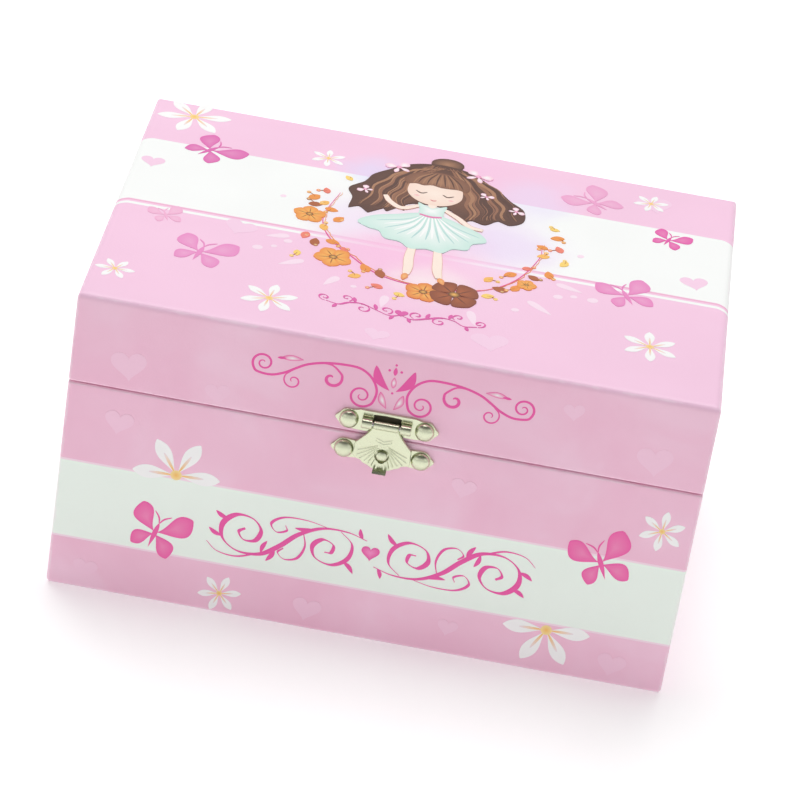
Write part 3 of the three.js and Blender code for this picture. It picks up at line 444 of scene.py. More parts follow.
base_paper, tree, shader, place = material("printed_paper_box")
up = put(tree, "SeparateXYZ", {0: place}).outputs[2]
colour = cloudy_pink(tree, place)
for low, high, paint in ((13.7, 35.7, BAND_EDGE), (14.2, 35.2, MINT_WHITE)):
    colour = paint_band(tree, colour, up, low, high, paint)
worn_and_lit_paper(tree, shader, place, colour, 0.0, PARTING)
print("printed papers ready")

# %% [markdown]
# ## Other finishes
#
# Each finish starts from the Principled shader. What is the same all over a piece is set on the shader,
# and what changes over it comes from the shared groups.


# %% Plain finishes
def grained(name, first, second, roughness, size=900.0, depth=0.2, patch=60.0, **constants):
    """Paper, board, cast metal or plastic: two tones in slow patches and a fine bump."""
    made, tree, shader, place = material(name, Roughness=roughness, **constants)
    grain = use_group(tree, grain_group, Vector=place, Size=size, Depth=depth, Patch=patch)
    share = step_up(tree, grain["Tone"], 0.35, 0.65)
    wire_up(tree, shader, Base_Color=blend_colour(tree, share, first, second), Normal=grain["Normal"])
    return made


def handled(name, colour, clean, smudged, scratch=0.05, **constants):
    """Metal or smooth plastic that has been touched: its roughness changes with the smudges."""
    made, tree, shader, place = material(name, Base_Color=colour, **constants)
    marks = use_group(tree, handling_group, Vector=place, Clean=clean, Smudged=smudged, Scratch=scratch)
    wire_up(tree, shader, Roughness=marks["Roughness"], Normal=marks["Normal"])
    return made


def velvety(name, dark, light, depth=0.5, size=2600.0, sheen=0.6):
    """Short-pile cloth: fine fur, brushed patches and a soft sheen."""
    made, tree, shader, place = material(name, Roughness=0.95, Sheen_Weight=sheen, Sheen_Roughness=0.4)
    shader["Sheen Tint"].default_value = light
    pile = use_group(tree, pile_group, Vector=place, Depth=depth, Size=size)
    share = step_up(tree, pile["Shade"], 0.35, 0.65)
    wire_up(tree, shader, Base_Color=blend_colour(tree, share, dark, light), Normal=pile["Normal"])
    return made


nickel = handled("nickel_plate", rgb(216, 221, 192), 0.2, 0.36, 0.06, Metallic=1.0)
finishes = {
    "printed_paper": base_paper,
    "plain_paper": grained("plain_paper", rgb(244, 224, 234), rgb(250, 236, 243), 0.75, 1500.0, 0.25),
    "fibreboard": grained("fibreboard", rgb(170, 134, 96), rgb(196, 160, 120), 0.9, 1200.0, 0.6, 220.0),
    "velvet": velvety("velvet", rgb(222, 122, 172), rgb(238, 150, 194)),
    "cushion": velvety("cushion_velvet", rgb(238, 160, 198), rgb(248, 188, 216), 0.35, 3200.0),
    "satin_board": grained("satin", rgb(250, 212, 229), rgb(253, 222, 236), 0.3, 2600.0, 0.1, 90.0,
                           Sheen_Weight=0.3),
    "mirror_glass": handled("mirror", rgb(236, 240, 241), 0.015, 0.04, 0.0, Metallic=1.0),
    "nickel": nickel,
    "steel": handled("steel", rgb(196, 198, 202), 0.22, 0.38, 0.1, Metallic=1.0),
    "brass": handled("brass", rgb(222, 184, 104), 0.2, 0.36, 0.1, Metallic=1.0),
    "zinc": grained("zinc_casting", rgb(158, 160, 164), rgb(178, 180, 184), 0.5, 1100.0, 0.35, 120.0,
                    Metallic=1.0),
    "spring_steel": handled("spring_steel", rgb(150, 153, 160), 0.2, 0.35, 0.08, Metallic=1.0),
    "white_plastic": handled("white_plastic", rgb(243, 240, 238), 0.25, 0.38, 0.03),
    "doll_plastic": handled("doll_plastic", rgb(246, 214, 190), 0.3, 0.42, 0.03),
    "tulle": grained("tulle_plain", rgb(250, 226, 238), rgb(253, 238, 245), 0.9),
}
for part in frame["record"]["subparts"]:
    slots = frame["nodes"][part["node"]].data.materials
    slots.clear()
    slots.append(finishes[part["material_slot"]])
print(len(finishes), "finishes on", len(frame["nodes"]), "CAD nodes")

# %% [markdown]
# ## Mesh tools
#
# Almost every piece is a **loft**: a stack of closed rings, each ring the same number of points, with
# faces between neighbours and a cap on each end. A turned knob, a box with rounded edges, a bent
# wire and a stroke of ink are all lofts with different rings.


# %% Piece maker
def turn_out(mesh):
    """Turns a mesh's faces outwards."""
    edit = bmesh.new()
    edit.from_mesh(mesh)
    bmesh.ops.recalc_face_normals(edit, faces=edit.faces)
    edit.to_mesh(mesh)
    edit.free()


def piece(name, points, faces, finish, body, slot, replaces=(), sharp=35, colours=None):
    """A mesh object from points in millimetres: faces turned outwards, smooth below the sharp angle."""
    mesh = bpy.data.meshes.new(name)
    mesh.from_pydata((np.asarray(points, float) / 1000).tolist(), [], faces)
    turn_out(mesh)
    mesh.shade_smooth()
    mesh.set_sharp_from_angle(angle=math.radians(sharp))
    if colours is not None:
        layer = mesh.color_attributes.new("ink", "FLOAT_COLOR", "POINT")
        layer.data.foreach_set("color", np.asarray(colours, np.float32).ravel())
    mesh.materials.append(finish)
    made = bpy.data.objects.new(name, mesh)
    bpy.context.scene.collection.objects.link(made)
    if body:
        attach(made, body)
    if replaces:
        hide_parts(*replaces)
    return made


def grid_faces(rows, columns, wrap_rows=False, wrap_columns=True):
    """The four-sided faces of a grid whose points are numbered row by row."""
    r, c = np.meshgrid(
        np.arange(rows if wrap_rows else rows - 1),
        np.arange(columns if wrap_columns else columns - 1),
        indexing="ij",
    )
    r2, c2 = (r + 1) % rows, (c + 1) % columns
    corners = [r * columns + c, r * columns + c2, r2 * columns + c2, r2 * columns + c]
    return np.stack(corners, -1).reshape(-1, 4)


def loft(rings, closed=False):
    """Points and faces of a stack of rings (ring, point, xyz). closed joins the last ring to the first."""
    rings = np.asarray(rings, float)
    count, around = rings.shape[:2]
    faces = grid_faces(count, around, wrap_rows=closed).tolist()
    if not closed:
        faces.append(list(range(around)))
        faces.append(list(range((count - 1) * around, count * around)))
    return rings.reshape(-1, 3), faces


def gather(parts):
    """Several (points, faces) as one."""
    points, faces, start = [], [], 0
    for these, those in parts:
        points.append(these)
        faces += [[start + i for i in face] for face in those]
        start += len(these)
    return np.concatenate(points), faces


def rounded_rectangle(half_x, half_y, radius, hold, per_corner=7):
    """A rectangle's outline with round corners. Points hold millimetres past each corner keep the long
    sides flat."""
    angles = np.linspace(0, np.pi / 2, per_corner)
    out = []
    for quarter, (sx, sy) in enumerate(((1, 1), (-1, 1), (-1, -1), (1, -1))):
        turn = angles + quarter * np.pi / 2
        centre = np.array([sx * (half_x - radius), sy * (half_y - radius)])
        arc = centre + radius * np.stack([np.cos(turn), np.sin(turn)], 1)
        before = np.array([-np.sin(turn[0]), np.cos(turn[0])]) * -hold
        after = np.array([-np.sin(turn[-1]), np.cos(turn[-1])]) * hold
        out += [arc[:1] + before, arc, arc[-1:] + after]
    return np.concatenate(out)


BOX_X, BOX_Y, BOX_Z = 75.0, 54.0, 80.0  # half width, half depth and height, in millimetres


def walls(profile, half, hold):
    """Rings of a box: for each (inset, z, corner radius), its outline moved in by inset at height z."""
    rings = []
    for inset, z, corner in profile:
        flat = rounded_rectangle(half[0] - inset, half[1] - inset, corner, hold=hold)
        rings.append(np.column_stack([flat, np.full(len(flat), z)]))
    return np.array(rings)


def box_rings(profile, radius=0.75, least=0.25):
    """Rings of the outer box from (inset, z): its corners get tighter as the outline moves in."""
    return walls([(inset, z, max(radius - inset, least)) for inset, z in profile], (BOX_X, BOX_Y), 0.2)


print("a test loft has", len(loft(box_rings([(0, 0), (0, 1)]))[1]), "faces")

# %% [markdown]
# ## The paper wraps
#
# Paper pulled round board gives edges that are round but tight. The lid's wrap is one loft: down
# the inside of the walls, round the rim, up the outside, over a small round edge and across the top.
# The box's wrap is the same idea as a closed sleeve. Extra rings beside each round edge keep the flat
# faces flat.

# %% Lid and box wraps
EDGE = 1.5
quarter_turn = np.linspace(0, np.pi / 2, 8)
top_edge = [(EDGE - EDGE * math.cos(a), BOX_Z - EDGE + EDGE * math.sin(a)) for a in quarter_turn]
lid_profile = [
    (0.65, 79.4), (0.65, 57.4), (3.9, 57.4), (3.9, 57.0), (3.82, 56.8), (3.6, 56.7),
    (0.45, 56.7), (0.2, 56.78), (0.06, 56.95), (0.0, 57.2), (0.0, 57.5), (0.0, 78.2),
    *top_edge, (1.8, BOX_Z),
]
lid_wrap = piece(
    "lid_paper_wrap", *loft(box_rings(lid_profile)), lid_paper, "lid", "printed_paper", ["lid_wrap"]
)
base_profile = [
    (0.65, 0.35), (0.65, 55.6), (3.9, 55.6), (3.9, 56.0), (3.82, 56.2), (3.6, 56.3),
    (0.45, 56.3), (0.2, 56.22), (0.06, 56.05), (0.0, 55.8), (0.0, 55.5),
    (0.0, 1.3), (0.0, 1.0), (0.08, 0.65), (0.3, 0.42),
]
sleeve = loft(box_rings(base_profile), closed=True)
base_wrap = piece("box_paper_wrap", *sleeve, base_paper, "base", "printed_paper", ["base_wrap"])
print("wraps:", len(lid_wrap.data.polygons), len(base_wrap.data.polygons), "faces")

# %% [markdown]
# ## The hasp
#
# The hasp is stamped from thin nickel-plated sheet: a lid plate with a window and two curled knuckles,
# a fan-shaped flap that swings on a pin, and a box plate with the round button that the flap snaps over.
# A stamped sheet has rolled edges that catch the light, so each plate is a loft: back face, edge, a
# small round and the front face. On the flap, the front rings also carry the engraved rays as real
# grooves and the raised strap below the button.


# %% Stamped sheet tools
def middle(node):
    """The middle of a CAD node's box, in millimetres."""
    low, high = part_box(node)
    return np.array([(a + b) * 500 for a, b in zip(low, high)])


def mirrored(points):
    """An outline given on its right side only, from top to bottom, with its left side added."""
    points = np.asarray(points, float)
    return np.concatenate([points, points[::-1] * (-1, 1)])


def stretches(*corners, per):
    """per points on each stretch from b to c of a smooth curve through a, b, c and d: a cubic whose
    slope at b is half of c - a and at c half of d - b (Catmull-Rom)."""
    t = (np.arange(per) / per)[None, :, None]
    a, b, c, d = (q[:, None] for q in corners)
    curve = b + 0.5 * t * (c - a + t * (2 * a - 5 * b + 4 * c - d + t * (3 * (b - c) + d - a)))
    return curve.reshape(-1, b.shape[-1])


def smooth_closed(points, per=6):
    """A smooth closed curve through the points."""
    p = np.asarray(points, float)
    return stretches(np.roll(p, 1, 0), p, np.roll(p, -1, 0), np.roll(p, -2, 0), per=per)


def reach(outline, centre, angles):
    """How far the outline is from centre in each direction. The outline is seen whole from centre."""
    closed = np.concatenate([outline, outline[:1]])
    dense = np.linspace(closed[:-1], closed[1:], 30, axis=1, endpoint=False).reshape(-1, 2) - centre
    around = np.arctan2(dense[:, 1], dense[:, 0])
    order = np.argsort(around)
    return np.interp(angles, around[order], np.hypot(*dense.T)[order], period=2 * np.pi)


def stamped(outer, inner, centre, back, thickness, bevel=0.18, count=160):
    """A sheet between an outer and an inner outline in (x, z), facing the front, with round edges."""
    angles = np.linspace(0, 2 * np.pi, count, endpoint=False)
    far, near = reach(outer, centre, angles), reach(inner, centre, angles)
    front = back - thickness
    steps = [
        (near, back), (far, back), (far, front + bevel), (far - bevel * 0.3, front + bevel * 0.3),
        (far - bevel, front), (far - bevel - 0.1, front), (near + bevel + 0.1, front),
        (near + bevel, front), (near + bevel * 0.3, front + bevel * 0.3), (near, front + bevel),
    ]
    rings = [
        np.column_stack([
            centre[0] + r * np.cos(angles), np.full(count, float(y)), centre[1] + r * np.sin(angles)
        ])
        for r, y in steps
    ]
    return loft(rings, closed=True)


def turned(profile, centre, axis, sides=32, closed=False):
    """A profile of (radius, height) turned about an axis through centre: "x", "y", "z" or "-y"."""
    a = np.linspace(0, 2 * np.pi, sides, endpoint=False)
    r, h = np.asarray(profile, float).T
    u, v, w = np.outer(r, np.cos(a)), np.outer(r, np.sin(a)), np.repeat(h[:, None], sides, 1)
    order = {"x": (w, u, v), "y": (v, w, u), "-y": (u, -w, v), "z": (u, v, w)}[axis]
    return loft(np.stack(order, -1) + np.asarray(centre, float), closed)


def tube_profile(inner, outer, start, end, bevel=0.12):
    """The closed (radius, height) profile of a tube with round ends."""
    return [
        (inner, start), (outer - bevel, start), (outer, start + bevel), (outer, end - bevel),
        (outer - bevel, end), (inner, end),
    ]


print("the hasp's pin is at", middle("latch_pin").round(2))

# %% Hasp plates and nails
FRONT = -54.0
SHEET = 0.62
pin = middle("latch_pin")
JOINT = (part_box("base_wrap")[1][2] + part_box("lid_wrap")[0][2]) * 500
PLATE_LOBE = [
    (8.2, 2.5), (9.4, 2.6), (10.5, 2.15), (11.3, 1.15), (12.25, 0.0), (11.3, -1.15), (10.5, -2.15),
    (9.4, -2.6), (8.2, -2.5),
]


def plate_outline(z, top, bottom):
    """Plate outline about height z: a lobe with a point beyond each nail, and a bar between them."""
    lobe = [(x, z + dz) for x, dz in PLATE_LOBE]
    return smooth_closed(mirrored([(2.2, top), (6.6, top), *lobe, (6.9, bottom), (2.2, bottom)]), 5)


upper_z = middle("latch_lid_nail_left")[2]
lower_z = middle("latch_box_nail_left")[2]
knuckles = [
    turned(tube_profile(0.6, 1.22, *sorted((side * 3.3, side * 5.8))), pin * (0, 1, 1), "x", 28, True)
    for side in (-1, 1)
]
WINDOW_RIGHT = [(2.9, 6.0), (3.15, 5.6), (3.15, 2.6), (2.9, 2.2)]
window = smooth_closed(mirrored([(x, JOINT + z) for x, z in WINDOW_RIGHT]), 4)
lid_plate = stamped(
    plate_outline(upper_z, JOINT + 6.8, JOINT + 1.3), window, np.array([0, JOINT + 4.05]), FRONT, SHEET
)
piece("hasp_lid_plate", *gather([lid_plate, *knuckles]), nickel, "lid", "nickel", ["latch_lid_plate"])

button_z = JOINT - 4.0
button_hole = 1.7 * np.stack([np.cos(np.linspace(0, 6.28, 40)), np.sin(np.linspace(0, 6.28, 40))], 1)
button_ring = button_hole * 0.5 + (0, button_z)
box_plate = stamped(
    plate_outline(lower_z, JOINT - 1.7, JOINT - 6.3), button_ring, np.array([0, button_z]), FRONT, SHEET
)
BUTTON = [
    (0.9, 0.1), (0.9, 1.35), (1.2, 1.45), (1.3, 1.65), (1.25, 1.95), (1.0, 2.2), (0.6, 2.33), (0.05, 2.38),
]
button_piece = turned(BUTTON, (0, FRONT, button_z), "-y", 32)
piece("hasp_box_plate", *gather([box_plate, button_piece]), nickel, "base", "nickel", ["latch_box_plate"])

NAIL = [
    (0.5, -3.2), (0.5, 0.03), (2.02, 0.03), (2.22, 0.1), (2.28, 0.28), (2.2, 0.6), (1.98, 0.98),
    (1.6, 1.3), (1.12, 1.52), (0.58, 1.64), (0.05, 1.67),
]
for node in ("latch_lid_nail_left", "latch_lid_nail_right", "latch_box_nail_left", "latch_box_nail_right"):
    x, _, z = middle(node)
    body = "lid" if "lid" in node else "base"
    dome = turned(NAIL, (x, FRONT - SHEET, z), "-y", 36)
    piece(node.replace("latch", "hasp"), *dome, nickel, body, "nickel", [node])
print("plates at", round(upper_z - JOINT, 2), "and", round(lower_z - JOINT, 2), "mm from the parting line")

# %% Hasp flap
FLAP_RIGHT = [
    (2.95, 4.3), (3.0, 3.2), (3.55, 2.1), (4.6, 0.75), (5.8, -0.6), (6.6, -1.6), (6.65, -3.1),
    (6.75, -4.6), (6.5, -5.4), (5.6, -5.8), (4.9, -6.0), (4.3, -6.6), (3.3, -7.0), (2.4, -7.5),
    (1.7, -7.75),
]


def along_line(x, z, start, direction):
    """Distance along and distance from a line, for every point at once."""
    dx, dz = x - start[0], z - start[1]
    return dx * direction[0] + dz * direction[1], np.abs(dx * direction[1] - dz * direction[0])


def flap_relief(x, z, margin):
    """Height of the flap's front above its sheet: grooves like rays from a point above the button, a
    V above them, and a strap below the button. A groove is a bell curve of the distance to its line."""
    relief = np.zeros_like(x)
    inside = np.clip((margin - 0.5) / 0.5, 0, 1)
    for degrees in (68, 58, 48, 38, 28, 18):
        for side in (-1, 1):
            lean = math.radians(degrees)
            far, off = along_line(x, z, (0, -0.9), (side * math.sin(lean), -math.cos(lean)))
            fade = np.clip((far - 0.7) / 0.3, 0, 1) * np.clip((8.4 - far) / 0.6, 0, 1)
            relief = np.minimum(relief, -0.13 * np.exp(-((off / 0.14) ** 2)) * fade * inside)
    for side in (-1, 1):
        for drop in (0.0, 0.75):
            far, off = along_line(x, z, (0, -0.75 + drop), (side * 0.93, 0.36))
            fade = (far > -0.05) * np.clip((2.3 - far) / 0.3, 0, 1)
            relief = np.minimum(relief, -0.11 * np.exp(-((off / 0.15) ** 2)) * fade)
    half = 0.75 + 0.16 * (-5.2 - z)
    strap = np.clip((half - np.abs(x)) / 0.3, 0, 1) * np.clip((-5.1 - z) / 0.4, 0, 1)
    return np.where(strap > 0, 0.28 * strap, relief)


angles = np.linspace(0, 2 * np.pi, 300, endpoint=False)
centre = np.array([0, -4.0])
far = reach(smooth_closed(mirrored(FLAP_RIGHT), 5), centre, angles)
flap_back = FRONT - SHEET - 0.38
flap_front = flap_back - SHEET
HOLE, ROUND = 1.7, 0.2


def on_rays(r):
    """x and z of the points at distance r from the flap's centre, one on each ray."""
    return centre[0] + r * np.cos(angles), centre[1] + r * np.sin(angles)


sides = [(HOLE, flap_back), (far, flap_back), (far, flap_front + ROUND), (far - 0.07, flap_front + 0.06)]
for share in np.concatenate([[1.0], np.linspace(0.985, 0.015, 44), [0.0]]):
    r = HOLE + ROUND + (far - ROUND - HOLE - ROUND) * share
    sides.append((r, flap_front - flap_relief(*on_rays(r), far - r)))
sides += [(HOLE + 0.06, flap_front + 0.06), (HOLE, flap_front + ROUND)]
rings = []
for r, y in sides:
    x, z = on_rays(r)
    rings.append(np.column_stack([x, np.broadcast_to(y, x.shape), z + JOINT]))
flap_sheet = loft(rings, closed=True)

curl = turned(tube_profile(0.6, 1.02, -2.95, 2.95), pin * (0, 1, 1), "x", 28, True)
LIP = np.array([
    (-55.1, -7.3), (-55.45, -7.75), (-55.95, -8.05), (-56.5, -8.15), (-57.0, -8.05), (-57.3, -7.75),
])


def bent_strip(path, half_width, thickness):
    """A strip of sheet along a path in (y, z), with its thickness on both sides of the path."""
    path = np.asarray(path, float)
    along = np.gradient(path, axis=0)
    across = np.column_stack([-along[:, 1], along[:, 0]]) / np.hypot(*along.T)[:, None] * thickness / 2
    rings = []
    for (y, z), (dy, dz) in zip(path, across):
        rings.append([
            (-half_width, y - dy, z - dz), (half_width, y - dy, z - dz),
            (half_width, y + dy, z + dz), (-half_width, y + dy, z + dz),
        ])
    return loft(rings)


lip = bent_strip(LIP + (0, JOINT), 1.6, 0.5)
piece("hasp_flap", *gather([flap_sheet, curl, lip]), nickel, "latch_flap", "nickel", ["latch_flap"])
print("flap:", len(angles) * len(rings), "points")

# %% [markdown]
# ## Printed drawings
#
# On the real box the drawings are ink on the paper, so here each shape is a closed film a few hundredths
# of a millimetre high, lying on the paper, with its colour stored on its points. Each shape lies a hair
# higher than the one before, so that two never share a surface. One material reads the stored colour and
# adds the paper's grain. Every line stays sharp from as near as anyone cares to look.
#
# Two kinds of shape are enough: a **patch** is a closed outline filled towards its centre, and a
# **stroke** is a ribbon along a curve whose width changes like that of a pen.

# %% Ink material and film tools
ink_finish, tree, shader, place = material("printing_ink")
stored = put(tree, "Attribute", attribute_name="ink").outputs["Color"]
paper_surface(tree, shader, place, stored, 0.30)

FACES = {
    "top": lambda u, v, h: (u, v, BOX_Z + h),
    "front": lambda u, v, h: (u, -BOX_Y - h, v),
    "back": lambda u, v, h: (-u, BOX_Y + h, v),
    "right": lambda u, v, h: (BOX_X + h, u, v),
    "left": lambda u, v, h: (-BOX_X - h, -u, v),
}
UNDER, LOWEST, STEP = -0.02, 0.02, 0.0005
SHRINK = np.array([1, 1, 0.8, 0.6, 0.4, 0.2, 0.03])


def smooth_open(points, per=8):
    """A smooth open curve through the points, which go on past each end as far as they came to it."""
    p = np.asarray(points, float)
    p = np.concatenate([2 * p[:1] - p[1:2], p, 2 * p[-1:] - p[-2:-1]])
    return np.concatenate([stretches(p[:-3], p[1:-2], p[2:-1], p[3:], per=per), p[-2:-1]])


def patch(outline, inner, outer=None, centre=None):
    """A closed outline shrunk in steps towards its centre; the colour runs from outer to inner."""
    outline, outer = np.asarray(outline, float), outer or inner
    centre = outline.mean(0) if centre is None else np.asarray(centre, float)
    flat = centre + (outline - centre) * SHRINK[:, None, None]
    height = np.arange(len(SHRINK)) > 0
    colour = np.array(outer) * SHRINK[:, None] + np.array(inner) * (1 - SHRINK[:, None])
    shape = flat.shape[:2]
    return (
        np.concatenate([flat, np.broadcast_to(height[:, None, None], (*shape, 1))], -1),
        np.broadcast_to(colour[:, None], (*shape, 4)),
    )


def unfolded(outline, centre):
    """The outline with its angle about the centre made to run one way only: a film shrunk towards the
    centre then never folds over itself."""
    away = np.asarray(outline, float) - centre
    angle = np.unwrap(np.arctan2(away[:, 1], away[:, 0]))
    way = np.sign(angle[-1] - angle[0])
    angle = np.maximum.accumulate(angle * way + 1e-5 * np.arange(len(angle))) * way
    return centre + np.hypot(*away.T)[:, None] * np.stack([np.cos(angle), np.sin(angle)], 1)


def stroke(path, width, colour, tip=0.3, end=None):
    """A ribbon along a path: width at the middle, tip times that at the ends, colour running to end."""
    path = np.asarray(path, float)
    along = np.gradient(path, axis=0)
    across = np.column_stack([-along[:, 1], along[:, 0]]) / np.maximum(np.hypot(*along.T), 1e-9)[:, None]
    t = np.linspace(0, 1, len(path))[:, None]
    half = across * np.asarray(width) / 2 * (tip + (1 - tip) * np.sin(np.pi * t) ** 0.7)
    top, under = np.ones((len(path), 1)), np.zeros((len(path), 1))
    rings = np.stack([
        np.hstack([path - half, under]), np.hstack([path + half, under]),
        np.hstack([path + half, top]), np.hstack([path - half, top]),
    ], 1)
    shades = np.array(colour) * (1 - t) + np.array(end or colour) * t
    return rings, np.broadcast_to(shades[:, None], (len(path), 4, 4))


def print_on(face, name, body, shapes):
    """All shapes as one object of ink film on a face of the box, each a step above the one before."""
    parts, shades = [], []
    for number, (film, colour) in enumerate(shapes):
        u, v, on_top = np.moveaxis(film, -1, 0)
        height = np.where(on_top > 0, LOWEST + STEP * number, UNDER)
        points = np.stack(FACES[face](u, v, height), -1)
        parts.append(loft(points))
        shades.append(colour.reshape(-1, 4))
    colours = np.concatenate(shades)
    return piece(name, *gather(parts), ink_finish, body, "printed_paper", sharp=1, colours=colours)


print("each shape lies", STEP, "mm above the one before")


# %% Leaves, spirals and hearts
def heading(degrees):
    """The arrow of length 1 that points at that angle."""
    return np.array([math.cos(math.radians(degrees)), math.sin(math.radians(degrees))])


def turned_by(points, degrees, move=(0, 0)):
    """Flat points turned about the origin, then moved."""
    a = math.radians(degrees)
    turn = np.array([[math.cos(a), math.sin(a)], [-math.sin(a), math.cos(a)]])
    return np.asarray(points, float) @ turn + move


def leaf_outline(base, tip, width, fullest=0.5, bend=0.0, count=14):
    """A leaf from base to tip. Its half width is a half sine wave, squeezed so that it is fullest there."""
    base, tip = np.asarray(base, float), np.asarray(tip, float)
    t = np.linspace(0.01, 0.99, count)
    squeeze = math.log(0.5) / math.log(fullest)
    half = width / 2 * np.sin(np.pi * t**squeeze) ** 0.8
    along = tip - base
    across = np.array([-along[1], along[0]]) / np.hypot(*along)
    spine = base + along * t[:, None] + across * (bend * np.sin(np.pi * t) * np.hypot(*along))[:, None]
    return np.concatenate([spine + across * half[:, None], (spine - across * half[:, None])[::-1]])


def oval(centre, rx, ry, degrees=0.0, count=24):
    """An ellipse, turned."""
    a = np.linspace(0, 2 * np.pi, count, endpoint=False)
    return turned_by(np.stack([rx * np.cos(a), ry * np.sin(a)], 1), degrees, centre)


def heart_outline(centre, size, degrees=0.0):
    """The usual heart: x is the cube of a sine, y a sum of four cosines."""
    a = np.linspace(0, 2 * np.pi, 40, endpoint=False)
    x = 16 * np.sin(a) ** 3
    y = 13 * np.cos(a) - 5 * np.cos(2 * a) - 2 * np.cos(3 * a) - np.cos(4 * a)
    return turned_by(np.stack([x, y], 1) * size / 32, degrees, centre)


def spiral(centre, start, end, first, last, count=26):
    """Points of a spiral: radius from start to end while the angle runs from first to last, in degrees."""
    a = np.radians(np.linspace(first, last, count))
    r = np.linspace(start, end, count)
    return np.asarray(centre, float) + np.stack([r * np.cos(a), r * np.sin(a)], 1)


WHITE = rgb(253, 253, 252)
SHADE_WHITE = rgb(243, 232, 238)
GOLD = rgb(250, 196, 96)
PALE_GOLD = rgb(253, 226, 160)


def flower(centre, radius, leans, petal, vein, eye):
    """Petals at the angles in leans, each with a vein, round an eye. Every length is a share of the
    radius: petal is (foot, width, middle, inner, outer), vein is (from, to, points, colour, tip, end
    colour) and eye is (half width, half height, inner, outer)."""
    centre, shapes = np.asarray(centre, float), []
    foot, width, middle_at, inner, outer = petal
    first, last, count, colour, tip, end = vein
    for lean in leans:
        way = heading(lean)
        outline = leaf_outline(centre + foot * radius * way, centre + radius * way, width * radius, 0.62)
        shapes.append(patch(outline, inner, outer, centre + middle_at * radius * way))
        line = np.array([centre + radius * s * way for s in np.linspace(first, last, count)])
        shapes.append(stroke(line, 0.07 * radius, colour, tip, end))
    shapes.append(patch(oval(centre, eye[0] * radius, eye[1] * radius), *eye[2:]))
    return shapes


def daisy(centre, radius, degrees=0.0, shown=range(6)):
    """White petals round a small gold eye. shown picks the petals that are printed."""
    leans = [degrees + 60 * k for k in shown]
    petal, vein = (0.06, 0.35, 0.55, WHITE, WHITE), (0.12, 0.62, 6, GOLD, 0.4, SHADE_WHITE)
    return flower(centre, radius, leans, petal, vein, (0.13, 0.13, GOLD, PALE_GOLD))


WINGS = [
    ((0.02, 0.05), (0.52, 0.58), 0.42, 0.66, -0.1), ((-0.02, 0.05), (-0.42, 0.55), 0.38, 0.66, 0.12),
    ((0.02, 0.0), (0.38, -0.38), 0.32, 0.62, 0.12), ((-0.02, 0.0), (-0.32, -0.34), 0.28, 0.62, -0.12),
]


def butterfly(centre, size, degrees, colour):
    """A butterfly from the side and above: two large wings, two small wings, a body and feelers."""
    paler = tuple(np.array(colour) * 0.85 + np.array(WHITE) * 0.15)
    shapes = []
    for base, tip, width, fullest, bend in WINGS:
        outline = leaf_outline(base, tip, width, fullest, bend, 18)
        shapes.append(patch(turned_by(outline * size, degrees, centre), paler, colour))
    body = leaf_outline((0, -0.3), (0, 0.26), 0.09, 0.6)
    shapes.append(patch(turned_by(body * size, degrees, centre), colour))
    for side in (-1, 1):
        feeler = smooth_open([(0.0, 0.24), (0.05 * side, 0.36), (0.16 * side, 0.46)], 5)
        shapes.append(stroke(turned_by(feeler * size, degrees, centre), 0.03 * size, colour))
    return shapes


def heart(centre, size, colour, degrees=0.0):
    """A printed heart of one colour."""
    return [patch(heart_outline(centre, size, degrees), colour)]


print("motif outlines ready")

# %% [markdown]
# ## The lid's drawing
#
# The middle of the lid has a dancer of plain, storybook kind in a ring of autumn flowers and
# leaves. She is built like a paper collage, from the back forwards: hair, limbs, dress, face, locks of
# hair, bows. The scattered leaves and berries come from a list of places, so that each can be moved alone.

# %% Ring of flowers
ORANGE, AMBER, BROWN = rgb(240, 150, 66), rgb(250, 190, 96), rgb(176, 96, 52)
CORAL, YELLOW, DARK = rgb(242, 130, 110), rgb(252, 214, 112), rgb(96, 48, 28)
VINE = rgb(232, 92, 158)


def blossom(centre, radius, petals, inner, outer, degrees=0.0):
    """Broad petals round a dark-rimmed eye."""
    leans = [degrees + 360 / petals * k for k in range(petals)]
    petal, vein = (0.05, 4.4 / petals, 0.3, inner, outer), (0.2, 0.8, 5, DARK, 0.3, outer)
    return flower(centre, radius, leans, petal, vein, (0.22, 0.2, AMBER, DARK))


